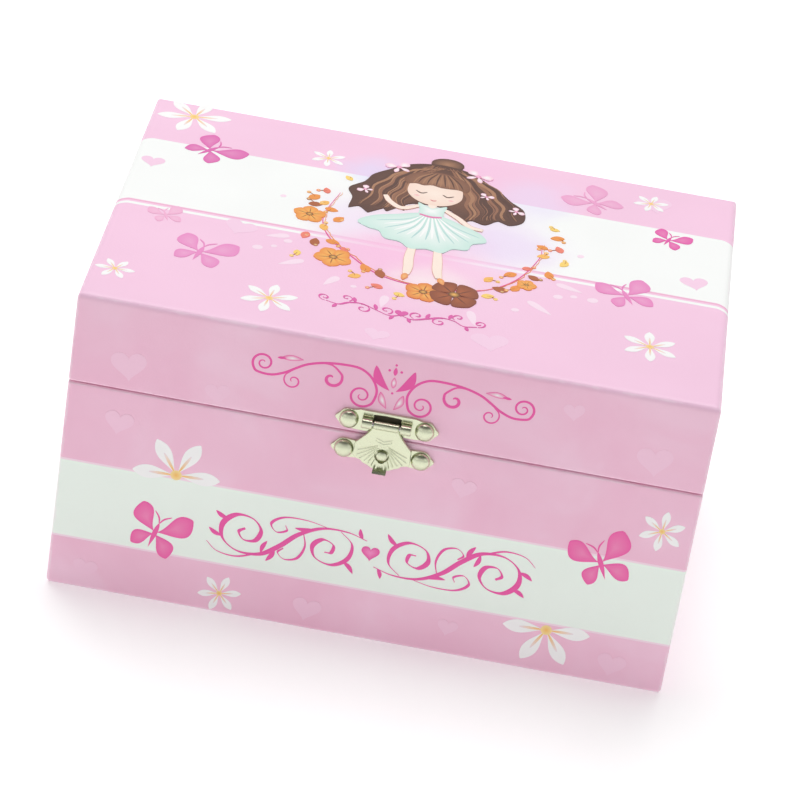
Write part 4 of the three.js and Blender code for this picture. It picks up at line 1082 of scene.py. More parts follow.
lid_top = []
ring = smooth_open([
    (-23.1, 18.9), (-25.4, 6.8), (-24.6, -0.7), (-21.5, -7.1), (-16.6, -12.5), (-8.8, -19.4), (2.0, -21.6),
    (14.8, -18.8), (23.1, -10.4), (27.9, 2.8), (28.1, 10.3),
], 10)
lid_top.append(stroke(ring, 0.35, VINE))
lid_top.append(stroke(ring + np.random.default_rng(4).normal(0, 0.12, ring.shape) + (0.6, 0.4), 0.2, ORANGE))
BERRIES = [
    (-21.9, 27.5, YELLOW, 1.5), (-28.9, 14.3, ORANGE, 2.2), (-28.4, 10.6, BROWN, 2.0),
    (-26.1, 12.1, AMBER, 1.7), (-24.2, 9.2, ORANGE, 1.9), (-21.8, 4.6, ORANGE, 2.0),
    (-24.7, -0.4, AMBER, 1.9), (-28.4, -6.0, CORAL, 2.0), (-25.8, -9.0, BROWN, 2.1),
    (-21.8, -7.2, ORANGE, 2.0), (-29.1, -15.7, YELLOW, 1.6), (-12.3, -17.6, ORANGE, 2.2),
    (-14.3, -22.1, AMBER, 1.9), (-8.5, -25.3, CORAL, 1.8), (-8.7, -18.8, BROWN, 2.2),
    (-3.2, -27.4, YELLOW, 1.6), (16.8, -12.2, AMBER, 1.8), (21.9, -7.6, ORANGE, 2.0),
    (20.2, -16.1, BROWN, 2.2), (23.5, -14.3, ORANGE, 2.0), (27.5, -7.4, BROWN, 1.8),
    (31.0, -4.7, ORANGE, 2.0), (29.0, 4.6, AMBER, 1.8), (31.7, 15.2, ORANGE, 2.0),
    (32.5, 9.3, CORAL, 1.8), (34.2, 2.5, YELLOW, 1.8), (28.4, 9.1, ORANGE, 1.7),
    (17.3, -20.5, YELLOW, 1.8), (30.4, 19.5, YELLOW, 1.4), (-26.4, 18.6, CORAL, 1.6),
    (25.4, -3.2, CORAL, 1.5), (-18.4, -10.6, CORAL, 1.6),
]
scatter = np.random.default_rng(11)
for *at, colour, size in BERRIES:
    at = np.array(at)
    lean = scatter.uniform(0, 360)
    tip = at + size * np.array([math.cos(lean), math.sin(lean)])
    lid_top.append(patch(leaf_outline(at - (tip - at) * 0.8, tip, size * 1.15, 0.45), colour))
    bud = at + scatter.uniform(-2.4, 2.4, 2)
    lid_top.append(patch(oval(bud, 0.55, 0.55), PALE_GOLD, colour))
    lid_top.append(stroke(smooth_open([at, (at + bud) / 2 + (0.3, 0.2), bud], 4), 0.16, BROWN))
for centre, radius, petals, inner, outer, lean in (
    ((-28.9, 4.8), 4.2, 5, AMBER, ORANGE, 20), ((-20.5, -14.9), 4.8, 5, AMBER, ORANGE, 50),
    ((2.3, -24.2), 4.7, 5, AMBER, rgb(232, 132, 60), 10), ((9.6, -22.8), 6.4, 4, BROWN, rgb(140, 72, 44), 40),
    ((26.0, -11.6), 2.6, 5, AMBER, ORANGE, 0),
):
    lid_top += blossom(centre, radius, petals, inner, outer, lean)
print(len(lid_top), "shapes in the ring")

# %% Dancer
HAIR, HAIR_LIGHT, HAIR_DARK = rgb(128, 84, 62), rgb(172, 124, 92), rgb(88, 54, 42)
SKIN, BLUSH, DRESS, MINT = rgb(254, 236, 222), rgb(248, 176, 180), rgb(254, 254, 253), rgb(206, 236, 226)
BOW, BOW_DARK = rgb(252, 206, 226), rgb(232, 130, 180)


def bow(centre, size, degrees):
    """Two loops, two tails and a knot."""
    shapes = []
    for tip, width in (((1, 0.55), 0.8), ((-1, 0.55), 0.8), ((0.6, -0.8), 0.4), ((-0.6, -0.8), 0.4)):
        loop = leaf_outline((0, 0), tip, width, 0.65) * size
        shapes.append(patch(turned_by(loop, degrees, centre), DRESS, BOW))
    shapes.append(patch(oval(centre, 0.22 * size, 0.2 * size), BOW, BOW_DARK))
    return shapes


hair_outline = smooth_closed([
    (-2.5, 43.2), (2.5, 43.4), (8.0, 41.6), (12.2, 37.6), (15.4, 34.6), (18.6, 30.2), (22.2, 26.4),
    (22.6, 20.6), (19.4, 17.4), (16.4, 18.6), (13.4, 15.4), (10.0, 16.4), (7.4, 14.6), (4.0, 20.0),
    (-5.0, 20.0), (-10.4, 13.8), (-12.0, 14.6), (-14.6, 10.8), (-17.8, 13.6), (-20.2, 12.0),
    (-20.0, 18.0), (-21.4, 22.6), (-18.0, 27.4), (-16.4, 32.0), (-12.6, 36.4), (-8.0, 41.0),
], 6)
lid_top.append(patch(oval((1.2, 44.4), 4.2, 3.2, 8), HAIR_LIGHT, HAIR_DARK))
lid_top.append(patch(unfolded(hair_outline, (0.5, 28)), HAIR, HAIR_DARK, (0.5, 28)))
waves = np.random.default_rng(7)
for k in range(56):
    side, s = (-1, 1)[k % 2], waves.uniform(0, 1)
    start = np.array([1.0 + side * waves.uniform(0, 4), 42.6 - 1.6 * s])
    bow_out = np.array([1.0 + side * (7 + 11 * s), 31 + 8 * s])
    end = np.array([-7.4 - 11.4 * s, 15.6 - 1.0 * s] if side < 0 else [8.4 + 13 * s, 15.6 + 5 * s])
    t = np.linspace(0, 1, 26)[:, None]
    line = (1 - t) ** 2 * start + 2 * t * (1 - t) * bow_out + t**2 * end
    line[:, 0] += 0.75 * np.sin(22 * t[:, 0] + 3 * s + side) * t[:, 0]
    tint = (HAIR_LIGHT, HAIR_DARK, rgb(150, 102, 76))[k % 3]
    lid_top.append(stroke(line, waves.uniform(0.4, 1.1), tint, 0.12))

LIMBS = [
    ([(-2.6, 0.0), (-2.9, -8.0), (-2.6, -13.0), (-2.7, -17.0)], 2.3, 0.6),
    ([(3.2, 0.0), (4.0, -7.5), (4.4, -12.5), (5.2, -16.4)], 2.3, 0.6),
    ([(-3.2, 19.6), (-7.4, 16.6), (-10.6, 18.8), (-12.2, 22.0)], 1.5, 0.7),
    ([(2.6, 19.6), (6.6, 16.2), (9.8, 12.8), (13.2, 12.0)], 1.5, 0.7),
]
for path, width, tip in LIMBS:
    path = smooth_open(path, 8)
    lid_top.append(stroke(path, width + 0.25, rgb(226, 176, 160), tip))
    lid_top.append(stroke(path, width, SKIN, tip))
SHOE, SHOE_RIM, SKIRT_SHADE = rgb(250, 190, 120), rgb(236, 150, 90), rgb(178, 216, 214)
for x, y, lean in ((-2.7, -17.4, -100), (5.3, -17.0, -60)):
    tip = np.array([x, y]) + 2.6 * heading(lean)
    lid_top.append(patch(leaf_outline((x, y + 0.9), tip, 1.7, 0.4), SHOE, SHOE_RIM))
skirt = smooth_closed([
    (-2.8, 15.6), (-8.0, 13.0), (-13.6, 10.2), (-17.2, 6.0), (-14.4, 3.4), (-11.6, 2.6), (-9.8, -0.6),
    (-6.0, -1.2), (-3.2, -3.8), (0.6, -2.6), (4.4, -3.4), (6.8, -0.4), (10.4, 0.6), (11.4, 4.0),
    (14.6, 6.4), (12.6, 10.2), (7.6, 13.2), (2.6, 15.6),
], 5)
lid_top.append(patch(skirt, DRESS, MINT, (-0.5, 9)))
for k, degrees in enumerate(np.linspace(-158, -22, 17)):
    way = heading(degrees)
    far = 11.0 + 3.0 * abs(way[0]) - 1.2 * (k % 2)
    fold = smooth_open([(2.2 * way[0], 14.6), (way * far * 0.5) + (0.3, 13.4), way * far + (0, 13.0)], 6)
    lid_top.append(stroke(fold, 0.6, DRESS if k % 2 else MINT, 0.2, DRESS if k % 2 else SKIRT_SHADE))
bodice = smooth_closed([
    (-3.8, 21.0), (-3.2, 18.0), (-2.6, 14.8), (2.4, 14.8), (3.0, 18.0), (3.4, 21.0), (1.6, 20.0),
    (-0.2, 19.4), (-2.0, 20.0),
], 5)
lid_top.append(patch(bodice, DRESS, MINT, (-0.2, 17.6)))
lid_top.append(stroke(smooth_open([(-2.9, 15.0), (0, 14.3), (2.7, 15.0)], 6), 0.9, BOW_DARK, 0.7))
lid_top.append(patch(oval((-0.2, 20.6), 1.1, 1.6), SKIN))
face = smooth_closed([
    (-0.3, 20.6), (3.4, 21.8), (6.0, 24.8), (6.6, 28.4), (5.4, 32.2), (-0.3, 34.2), (-6.0, 32.2),
    (-7.2, 28.4), (-6.6, 24.8), (-4.0, 21.8),
], 6)
lid_top.append(patch(face, SKIN, rgb(250, 222, 206)))
fringe = smooth_closed([
    (-7.6, 30.4), (-5.4, 31.0), (-3.4, 30.6), (-1.6, 31.4), (0.8, 30.8), (3.0, 30.9), (5.2, 31.2),
    (7.4, 30.6), (8.0, 33.0), (6.4, 36.6), (0.4, 39.0), (-6.0, 37.0), (-8.6, 33.0),
], 5)
lid_top.append(patch(unfolded(fringe, (0, 33.6)), HAIR_LIGHT, HAIR, (0, 33.6)))
for k, x in enumerate(np.linspace(-6.2, 6.4, 12)):
    lock = smooth_open([(0.3 + x * 0.35, 38.2), (x * 0.8, 34.8), (x, 31.2 + 0.5 * (k % 2))], 5)
    lid_top.append(stroke(lock, 0.42, HAIR_DARK if k % 2 else HAIR_LIGHT, 0.25))
for side in (-1, 1):
    eye = smooth_open([(-0.3 + side * 1.9, 27.2), (-0.3 + side * 3.3, 26.3), (-0.3 + side * 4.8, 27.3)], 6)
    lid_top.append(stroke(eye, 0.5, HAIR_DARK, 0.4))
    lid_top.append(patch(oval((-0.3 + side * 4.3, 24.7), 1.15, 0.75), BLUSH, SKIN))
lid_top.append(stroke(smooth_open([(-1.1, 23.5), (-0.3, 23.1), (0.5, 23.5)], 5), 0.4, rgb(214, 96, 110), 0.4))
for centre, size, lean in (
    ((-10.6, 38.2), 3.2, 24), ((9.4, 40.6), 3.4, -22), ((-17.4, 23.0), 2.0, 60), ((20.4, 25.2), 2.0, -50),
    ((12.4, 30.4), 1.8, -20),
):
    lid_top += bow(centre, size, lean)
print(len(lid_top), "shapes with the dancer")

# %% Scattered motifs on the lid's top
SPLASH = rgb(252, 226, 241)
ground = []
for centre, size in (
    ((-38.6, -16.5), 1.3), ((-34.9, -14.5), 0.8), ((-32.0, -10.8), 1.1), ((33.9, -14.4), 1.2),
    ((37.6, -13.0), 0.9), ((42.2, -13.1), 1.4), ((-36.4, 12.0), 0.8), ((37.8, 8.2), 0.9),
    ((-14.0, -27.4), 0.8), ((24.4, -24.6), 1.0),
):
    ground.append(patch(oval(centre, size, size * 0.85, 30), SPLASH))
for x, y, length, degrees in (
    (-27, -19, 7, 215), (-18, -24, 6, 240), (-6, -29, 6, 265), (14, -29, 7, 285), (27, -19, 8, 320),
    (33, -8, 7, 340), (-32, -8, 6, 200),
):
    tip = np.array([x, y]) + length * heading(degrees)
    ground.append(patch(leaf_outline((x, y), tip, 2.2, 0.3), SPLASH))
for centre, size, lean in (
    ((54.3, 43.1), 9, 10), ((-44, -8), 8, -14), ((20, -42), 9, 8), ((-6, -48), 6, -8), ((66, 5), 7, 12),
    ((-70, 18), 6, 0),
):
    ground += heart(centre, size, rgb(249, 211, 234), lean)
for centre, radius, lean in (
    ((-64.2, 46.1), 9.5, 12), ((-28.4, 36.5), 4.6, 30), ((-69.0, -39.3), 4.8, 0),
    ((-32.3, -40.2), 7.0, 22), ((53.3, 43.2), 4.6, 15), ((57.0, -30.7), 7.0, 34),
):
    ground += daisy(centre, radius, lean)
for centre, size, lean, colour in (
    ((-57.7, 29.0), 13, -38, rgb(226, 104, 180)), ((-62.1, -9.1), 8, 20, rgb(244, 180, 214)),
    ((-51.5, -24.5), 14, -12, rgb(236, 142, 200)), ((39.6, 37.8), 13, 50, rgb(240, 166, 208)),
    ((58.5, 24.7), 9, -20, rgb(232, 88, 172)), ((50.2, -8.2), 13, 24, rgb(236, 136, 196)),
):
    ground += butterfly(centre, size, lean, colour)


def pen_line(points, thick, colour, pen=62.0, thin=0.25):
    """A stroke of a broad pen: thin along the pen's angle and thick across it."""
    path = smooth_open(points, 10)
    along = np.gradient(path, axis=0)
    lean = np.arctan2(along[:, 1], along[:, 0]) - math.radians(pen)
    width = thick * (thin + (1 - thin) * np.cos(lean) ** 2)
    return stroke(path, width[:, None], colour, 0.45)


VINE_LINES = [
    ([(0, 0), (3.5, -1.4), (8, 0.6), (12, 2.4), (16, 1.4), (19, -1.0), (23, -0.6)], 1.0),
    (spiral((23.6, 1.3), 2.0, 0.4, -100, 330), 0.75), (spiral((11.6, -0.4), 2.5, 0.5, 70, 480), 0.7),
    (spiral((4.6, 1.5), 2.2, 0.4, -110, -480), 0.75), (spiral((17.0, 3.9), 1.9, 0.4, -120, -500), 0.65),
]
VINE_LEAVES = [
    ((14.2, 2.2), (14.9, 5.2), 1.3), ((19.4, -1.0), (20.6, -3.6), 1.2), ((7.4, 0.4), (8.4, 3.8), 1.3),
    ((2.0, -0.8), (3.2, -3.6), 1.2),
]


def vine_scroll(centre, scale, colour, rise=0.0):
    """A scroll border: a waving stem, four spirals and leaves, the same on both sides of its centre.
    rise lifts its ends by a parabola."""
    shapes = []
    for side in (-1, 1):
        def put_at(points):
            points = np.asarray(points, float) * scale
            return np.stack([points[:, 0] * side, points[:, 1] + rise * points[:, 0] ** 2], 1) + centre
        shapes += [pen_line(put_at(line), wide * scale, colour) for line, wide in VINE_LINES]
        shapes += [patch(put_at(leaf_outline(a, b, w, 0.55)), colour) for a, b, w in VINE_LEAVES]
    return shapes


SCROLL_PINK = rgb(226, 96, 172)
ground += vine_scroll(np.array([-1.5, -37.2]), 0.78, SCROLL_PINK, 0.004)
ground += heart((-1.5, -36.2), 3.2, SCROLL_PINK)
print_on("top", "lid_top_print", "lid", ground + lid_top)
print(len(ground) + len(lid_top), "shapes on the lid's top")

# %% [markdown]
# ## Front, side and back prints
#
# The lid's front has a scrollwork border with a tulip in the middle, mirrored left and right, and a dark
# patch of painted shadow in the hasp plate's window. The box's front has a broad pale band with a
# calligraphic scroll, between daisies and winged motifs. The sides and the back repeat the small motifs.

# %% Lid front print
MAGENTA = rgb(240, 84, 168)
FRONT_HEART = rgb(250, 205, 227)
lid_front = []
STEM = [
    (3.6, 68.6), (5.1, 71.7), (8.1, 73.7), (12.4, 73.9), (16.6, 73.4), (20.2, 72.3), (22.7, 70.8),
    (25.2, 69.1), (28.3, 67.9),
]
CURLS = [
    ([*spiral((7.0, 66.6), 0.4, 3.1, 760, 200, 20), *STEM,
      *spiral((30.4, 70.7), 2.8, 0.35, -66, 500, 20)], 0.62),
    ([(17.6, 73.2), (14.6, 73.2), *spiral((14.3, 69.7), 2.6, 0.4, 140, 480, 14)], 0.8),
    ([(20.2, 72.2), (22.6, 70.8), *spiral((23.1, 67.3), 2.4, 0.35, 66, -400, 16)], 0.42),
]
for side in (-1, 1):
    flip = np.array([side, 1])
    for line, wide in CURLS:
        lid_front.append(stroke(smooth_open(np.asarray(line) * flip, 5), wide, MAGENTA, 0.3))
    for base, tip, width, bend, inside in (
        ((0.7, 69.2), (4.6, 75.3), 2.2, -0.14, MAGENTA), ((0.8, 64.3), (2.7, 68.6), 1.7, -0.08, WHITE),
        ((21.2, 73.2), (26.6, 72.8), 1.5, 0.04, WHITE), ((25.2, 72.9), (27.4, 72.7), 0.7, 0.0, MAGENTA),
    ):
        outline = leaf_outline(base, tip, width, 0.55, bend) * flip
        lid_front.append(patch(outline, inside, MAGENTA))
    lid_front.append(patch(oval((side * 1.4, 74.6), 0.32, 0.32), MAGENTA))
for low, high, width, inside in ((70.0, 73.0, 1.3, WHITE), (73.4, 75.6, 1.0, MAGENTA)):
    lid_front.append(patch(leaf_outline((0, low), (0, high), width, 0.45), inside, MAGENTA))
for z in (68.7, 76.2):
    lid_front.append(patch(oval((0, z), 0.3, 0.3), MAGENTA))
# A dark patch in the lid plate's window, between the knuckles: painted shadow of the deep recess behind the
# flap's curl.
painted_shadow = np.array([
    (-3.4, 1.8), (0, 1.8), (3.4, 1.8), (3.4, 4.0), (3.4, 6.3), (0, 6.3), (-3.4, 6.3), (-3.4, 4.0),
])
lid_front.append(patch(painted_shadow + (0, JOINT), rgb(92, 84, 68), rgb(70, 64, 52)))
for centre, size in (((-61.3, 63.6), 8.5), ((62.4, 63.5), 8.5), ((-40.0, 60.4), 6.0), ((42.0, 72.5), 5.0)):
    lid_front += heart(centre, size, FRONT_HEART, 6)
print_on("front", "lid_front_print", "lid", lid_front)
print(len(lid_front), "shapes on the lid's front")

# %% Box front print
box_front = daisy((-47.1, 36.3), 10.5, 2, (0, 1, 2, 3)) + daisy((-33.2, 5.7), 5.3, 10)
box_front += daisy((67.4, 45.0), 5.6, 24) + daisy((45.3, 12.2), 10.5, 2, (3, 4, 5, 0))
WING_PINK = rgb(244, 96, 172)
box_front += butterfly((-50.5, 19.0), 13.5, -16, WING_PINK) + butterfly((55.0, 33.0), 14, 22, WING_PINK)
band_centre = np.array([1.0, 24.4])
BAND_LINES = [
    ([(1.2, -3.4), (6.0, -4.8), (12.0, -4.6), (17.4, -1.8), (21.6, 2.4), (26.0, 5.6), (31.4, 5.8),
      (35.2, 3.0), (35.6, -1.2), (32.6, -4.2), (28.6, -3.8), (26.4, -1.0), (27.4, 2.0), (30.2, 2.4),
      (31.6, 0.4), (30.2, -0.8)], 1.45),
    ([(7.6, -4.6), (4.6, -1.6), (5.2, 2.6), (8.8, 5.0), (12.8, 3.8), (13.8, 0.6), (11.6, -1.6),
      (9.0, -0.6), (9.2, 1.6), (10.8, 1.8)], 1.3),
    ([(10.0, -4.8), (15.6, -6.0), (21.2, -5.8), (24.2, -3.6), (22.8, -1.4), (20.4, -2.2),
      (20.8, -3.6)], 0.75),
    ([(16.4, -2.6), (15.6, 1.2), (17.0, 4.8), (20.0, 5.8), (21.8, 4.2), (20.6, 2.8)], 0.7),
    ([(27.0, 5.8), (31.6, 7.4), (36.2, 6.8), (39.0, 4.4)], 0.8),
]
BAND_LEAVES = [
    ((14.0, -4.0), (18.6, -3.4), 1.0), ((6.2, 3.4), (3.4, 6.4), 1.1), ((22.6, 3.4), (24.4, 7.2), 1.2),
    ((25.8, 5.2), (24.6, 1.6), 1.1), ((35.4, 2.4), (38.8, 0.6), 1.1), ((34.4, -2.6), (37.6, -4.4), 1.1),
    ((2.2, -3.6), (3.2, -6.4), 1.0),
]
for side in (-1, 1):
    for line, wide in BAND_LINES:
        box_front.append(pen_line(np.asarray(line, float) * side + band_centre, wide, MAGENTA, 58, 0.2))
    for base, tip, width in BAND_LEAVES:
        outline = leaf_outline(base, tip, width, 0.5, 0.08) * side + band_centre
        box_front.append(patch(outline, MAGENTA))
box_front += [patch(heart_outline(band_centre + (0, 0.3), 4.4), rgb(250, 150, 204), MAGENTA)]
for centre, size in (((62, 6), 7), ((-62, 48), 7), ((20, 47), 6), ((-12, 6), 7), ((-66, 6), 6), ((22, 8), 5)):
    box_front += heart(centre, size, FRONT_HEART, -6)
print_on("front", "box_front_print", "base", box_front)
print(len(box_front), "shapes on the box's front")

# %% Side and back prints
for face, half in (("left", BOX_Y), ("right", BOX_Y), ("back", BOX_X)):
    lower = daisy((-0.55 * half, 38.0), 9.0, 14) + daisy((0.62 * half, 8.0), 6.0, 30)
    lower += butterfly((0.3 * half, 26.0), 14, 18, rgb(244, 110, 180))
    lower += butterfly((-0.62 * half, 22.0), 11, -20, rgb(244, 130, 192))
    lower += heart((0.7 * half, 47.0), 7, FRONT_HEART) + heart((-0.2 * half, 7.0), 7, FRONT_HEART)
    print_on(face, face + "_box_print", "base", lower)
    upper = daisy((0.68 * half, 69.0), 5.4, 0) + heart((-0.66 * half, 68.0), 8, FRONT_HEART)
    if face != "back":
        upper += vine_scroll(np.array([0.0, 69.0]), 0.62, MAGENTA)
    print_on(face, face + "_lid_print", "lid", upper)
print("sides and back printed")

# %% [markdown]
# ## Velvet and board inside
#
# The tray and the lid are lined with velvet glued to thin board, so their inner corners are soft. They
# are lofts again: up one side of the lining, over its edge, and down the other side with a round
# fillet at the floor. The dividers and the stage are board wrapped in the same velvet. A copy of the CAD
# node is enough for those, with its loose triangles merged and its edges bevelled.


# %% Rounded copies of CAD nodes
def rounded_copy(node, width, segments=3, finish=None, angle=32):
    """A CAD node's copy with merged points, whole flat faces and bevelled edges. It replaces the node."""
    source = frame["nodes"][node]
    edit = bmesh.new()
    edit.from_mesh(source.data)
    bmesh.ops.remove_doubles(edit, verts=edit.verts, dist=1e-6)
    bmesh.ops.dissolve_limit(
        edit, angle_limit=math.radians(0.4), verts=edit.verts, edges=edit.edges, use_dissolve_boundaries=False
    )
    points = np.array([v.co for v in edit.verts]) * 1000
    faces = [[v.index for v in face.verts] for face in edit.faces]
    edit.free()
    body = body_of(source)
    body = body if isinstance(body, str) else body[0]
    part = next(p for p in frame["record"]["subparts"] if p["node"] == node)
    slot = part["material_slot"]
    name = node + "_rounded"
    made = piece(name, points, faces, finish or finishes[slot], body, slot, [node], 40)
    bevel = made.modifiers.new("round edges", "BEVEL")
    bevel.width, bevel.segments, bevel.limit_method = width / 1000, segments, "ANGLE"
    bevel.angle_limit = math.radians(angle)
    bevel.use_clamp_overlap = True
    bevel.harden_normals = True
    return made


velvet, cushion_velvet = finishes["velvet"], finishes["cushion"]
for node, width in (
    ("stage_divider", 0.6), ("cross_divider", 0.6), ("stage_deck", 0.5), ("stage_left_side", 0.3),
    ("stage_right_side", 0.3),
):
    rounded_copy(node, width)
print("stage and dividers wrapped in velvet")


# %% Linings
def fillet(inset, z, radius, rise, steps=7):
    """A quarter circle of (inset, z, corner) from a wall at inset to a floor at z; rise is 1 or -1."""
    return [
        (inset + radius * (1 - math.cos(a)), z + rise * radius * (1 - math.sin(a)), 2.5)
        for a in np.linspace(0, np.pi / 2, steps)
    ]


HALF, HOLD = (71.0, 50.0), 0.4
tray = [
    (46, 4.05, 1.0), (0.4, 4.05, 1.0), (0.02, 4.4, 1.0), (0.02, 55.9, 1.0), (0.1, 56.15, 1.0),
    (0.28, 56.25, 1.0), (0.42, 56.15, 1.2), (0.5, 55.9, 1.4), (0.5, 54.0, 1.8), (0.5, 8.0, 2.5),
    *fillet(0.5, 4.5, 2.2, 1), (4, 4.5, 2.0), (46, 4.5, 1.0),
]
piece("velvet_tray", *loft(walls(tray, HALF, HOLD)), velvet, "base", "velvet", ["base_lining"])
ceiling = [
    (46, 75.95, 1.0), (0.4, 75.95, 1.0), (0.02, 75.6, 1.0), (0.02, 57.4, 1.0), (0.1, 57.15, 1.0),
    (0.28, 57.05, 1.0), (0.42, 57.15, 1.2), (0.5, 57.4, 1.4), (0.5, 59.0, 1.8), (0.5, 72.0, 2.0),
    *fillet(0.5, 75.5, 1.6, -1), (4, 75.5, 2.0), (46, 75.5, 1.0),
]
piece("velvet_lid_lining", *loft(walls(ceiling, HALF, HOLD)), velvet, "lid", "velvet", ["lid_lining"])
print("linings fill", HALF, "mm half sizes")

# %% [markdown]
# ## Ring rolls
#
# The five ring rolls are foam wrapped in velvet and pushed into the tray side by side. Foam under cloth
# swells between the places that hold it, so one roll is made by cloth simulation: a slightly smaller
# bolster with pressure inside it. To give the solver ordinary sizes it is simulated ten times larger. What
# the cloth moved is capped, and kept inside the roll's own space, so that neighbours stay apart.
# All five rolls use that cloth, mirrored or turned, so that no two neighbours show the same wrinkles.
#
# The work on a bare mesh, not yet a piece, needs three small tools: one puts points into a throwaway
# object, one applies its modifiers, and one reads the points back. The doll uses them again.


# %% Throwaway objects
SIM_SCALE = 10.0
VOXEL_ROLL, VOXEL_DOLL = 0.0115, 0.0022


def enlarged(name, points, faces):
    """A throwaway object, SIM_SCALE times the size of the points, which are in millimetres."""
    mesh = bpy.data.meshes.new(name)
    mesh.from_pydata((points / 1000 * SIM_SCALE).tolist(), [], faces)
    made = bpy.data.objects.new(name, mesh)
    bpy.context.scene.collection.objects.link(made)
    return made


def voxel_skin(source, voxel):
    """Gives source a voxel remesh, to be the first of its modifiers."""
    skin = source.modifiers.new("even", "REMESH")
    skin.mode, skin.voxel_size = "VOXEL", voxel


def applied(source):
    """A new mesh of source with its modifiers applied."""
    bpy.context.view_layer.update()
    return bpy.data.meshes.new_from_object(source.evaluated_get(bpy.context.evaluated_depsgraph_get()))


def points_of(mesh):
    """A mesh's points as an array with a row for each."""
    flat = np.zeros(len(mesh.vertices) * 3)
    mesh.vertices.foreach_get("co", flat)
    return flat.reshape(-1, 3)


print("shaped at", SIM_SCALE, "times its size")


# %% Ring roll by cloth simulation
def bolster(half, rows=30, around=40):
    """Rings of an upright slab with a half round top: along x, each ring a D shape of (y, z), closed ends."""
    hx, hy, hz = half
    a = np.linspace(0, 2 * np.pi, around, endpoint=False)
    power = np.where(np.sin(a) > 0, 1.0, 0.35)
    y = hy * np.sign(np.cos(a)) * np.abs(np.cos(a)) ** np.where(np.sin(a) > 0, 1.0, 0.4)
    below = (hz - hy) - (2 * hz - hy) * np.abs(np.sin(a)) ** power
    z = np.where(np.sin(a) > 0, hz - hy + hy * np.sin(a), below)
    u = np.linspace(-1, 1, rows)
    x = hx * np.sign(u) * (1 - (1 - np.abs(u)) ** 1.6)
    shrink = (1 - np.clip((np.abs(x) - hx + 2.2) / 2.2, 0, 1) ** 2.4 * 0.42)[:, None]
    return np.stack([np.repeat(x[:, None], around, 1), y * shrink, z * (0.3 + 0.7 * shrink)], -1)


roll_boxes = [np.array(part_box(f"ring_roll_{n}")) * 1000 for n in range(1, 6)]
roll_half = (roll_boxes[2][1] - roll_boxes[2][0]) / 2
roll = enlarged("roll_cloth", *loft(bolster(roll_half - (0.8, 0.75, 0.6))))
voxel_skin(roll, VOXEL_ROLL)
even = applied(roll)
roll.modifiers.clear()
roll.data = even
rest = moved = points_of(even)
cloth = roll.modifiers.new("cloth", "CLOTH")
cloth.settings.use_pressure = True
cloth.settings.uniform_pressure_force = 4.0
cloth.settings.effector_weights.gravity = 0
cloth.settings.quality = 4
cloth.settings.tension_stiffness = cloth.settings.compression_stiffness = 12
for step in range(1, 21):
    bpy.context.scene.frame_set(step)
moved = points_of(roll.evaluated_get(bpy.context.evaluated_depsgraph_get()).data)
bpy.context.scene.frame_set(1)
CAP = 0.0012 * SIM_SCALE
shift = moved - rest
length = np.linalg.norm(shift, axis=1, keepdims=True)
moved = (rest + shift * np.minimum(1, CAP / np.maximum(length, 1e-9))) / SIM_SCALE * 1000
cloth_faces = [list(p.vertices) for p in even.polygons]
bpy.data.objects.remove(roll)
furthest = float(length.max()) / SIM_SCALE * 1000
print("roll cloth:", len(moved), "points, moved up to", round(furthest, 2), "mm")

# %% Five ring rolls
def smoothed(made):
    """The piece with one round of subdivision."""
    smooth = made.modifiers.new("smooth", "SUBSURF")
    smooth.levels = smooth.render_levels = 1
    return made


lean = np.random.default_rng(5)
for n, (low, high) in enumerate(roll_boxes, 1):
    flip = np.array([(-1) ** n, (-1) ** (n // 2), 1])
    half, centre = (high - low) / 2, (high + low) / 2
    local = moved * flip
    x, y, z = local.T
    phase = lean.uniform(0, 6, 3)
    wave = 0.16 * np.sin(x / 5.5 + phase[0]) + 0.12 * np.sin(x / 2.6 + y / 3 + phase[1])
    wave = wave + 0.1 * np.sin(z / 4 + phase[2])
    local = local * (1 + np.array([0, 0.012, 0.008]) * wave[:, None])
    local = np.clip(local, -(half - 0.06), half - (0.06, 0.06, 0.0))
    made = smoothed(piece(
        f"velvet_roll_{n}", local + centre, cloth_faces, cushion_velvet, "base", "cushion",
        [f"ring_roll_{n}"], 60,
    ))
print("rolls are", (2 * roll_half).round(1), "mm")

# %% [markdown]
# ## Mirror and its padded frame
#
# The mirror lies in a frame of satin over thin padding. The frame is a rectangle swept with a crowned
# profile whose crown dips before the window, and the satin is drawn in a little at each mitred corner.

# %% Mirror frame
OUTER, WINDOW = np.array([69.9, 48.9]), np.array([52.1, 35.1])
CROWN = [
    (0.0, 75.4), (0.0, 74.6), (0.02, 74.0), (0.07, 73.5), (0.16, 73.2), (0.3, 73.04), (0.5, 73.0),
    (0.7, 73.04), (0.82, 73.2), (0.9, 73.42), (0.94, 73.36), (0.98, 73.5), (1.0, 73.72), (1.0, 73.86),
    (0.9, 73.87), (0.865, 73.87), (0.86, 75.0), (0.86, 75.4), (0.4, 75.4),
]


def framed(share, z, per_side=48):
    """A rectangle with mitred corners between the frame's outer edge and its window, evenly divided."""
    half = OUTER * (1 - share) + WINDOW * share
    t = np.linspace(-1, 1, per_side, endpoint=False)
    one = np.ones(per_side)
    x = np.concatenate([t, one, -t, -one]) * half[0]
    y = np.concatenate([-one, t, one, -t]) * half[1]
    from_x, from_y = 1 - np.abs(x) / half[0], 1 - np.abs(y) / half[1]
    corner = np.minimum(from_x, from_y) + np.maximum(from_x, from_y)
    puff = np.sin(np.pi * np.clip(share, 0, 1)) ** 0.5 * (z < 73.6)
    wrinkle = 0.3 * np.exp(-corner / 0.05) + 0.05 * np.sin(np.arctan2(y, x) * 46) * np.exp(-corner / 0.3)
    return np.column_stack([x, y, z + puff * np.maximum(wrinkle, 0)])


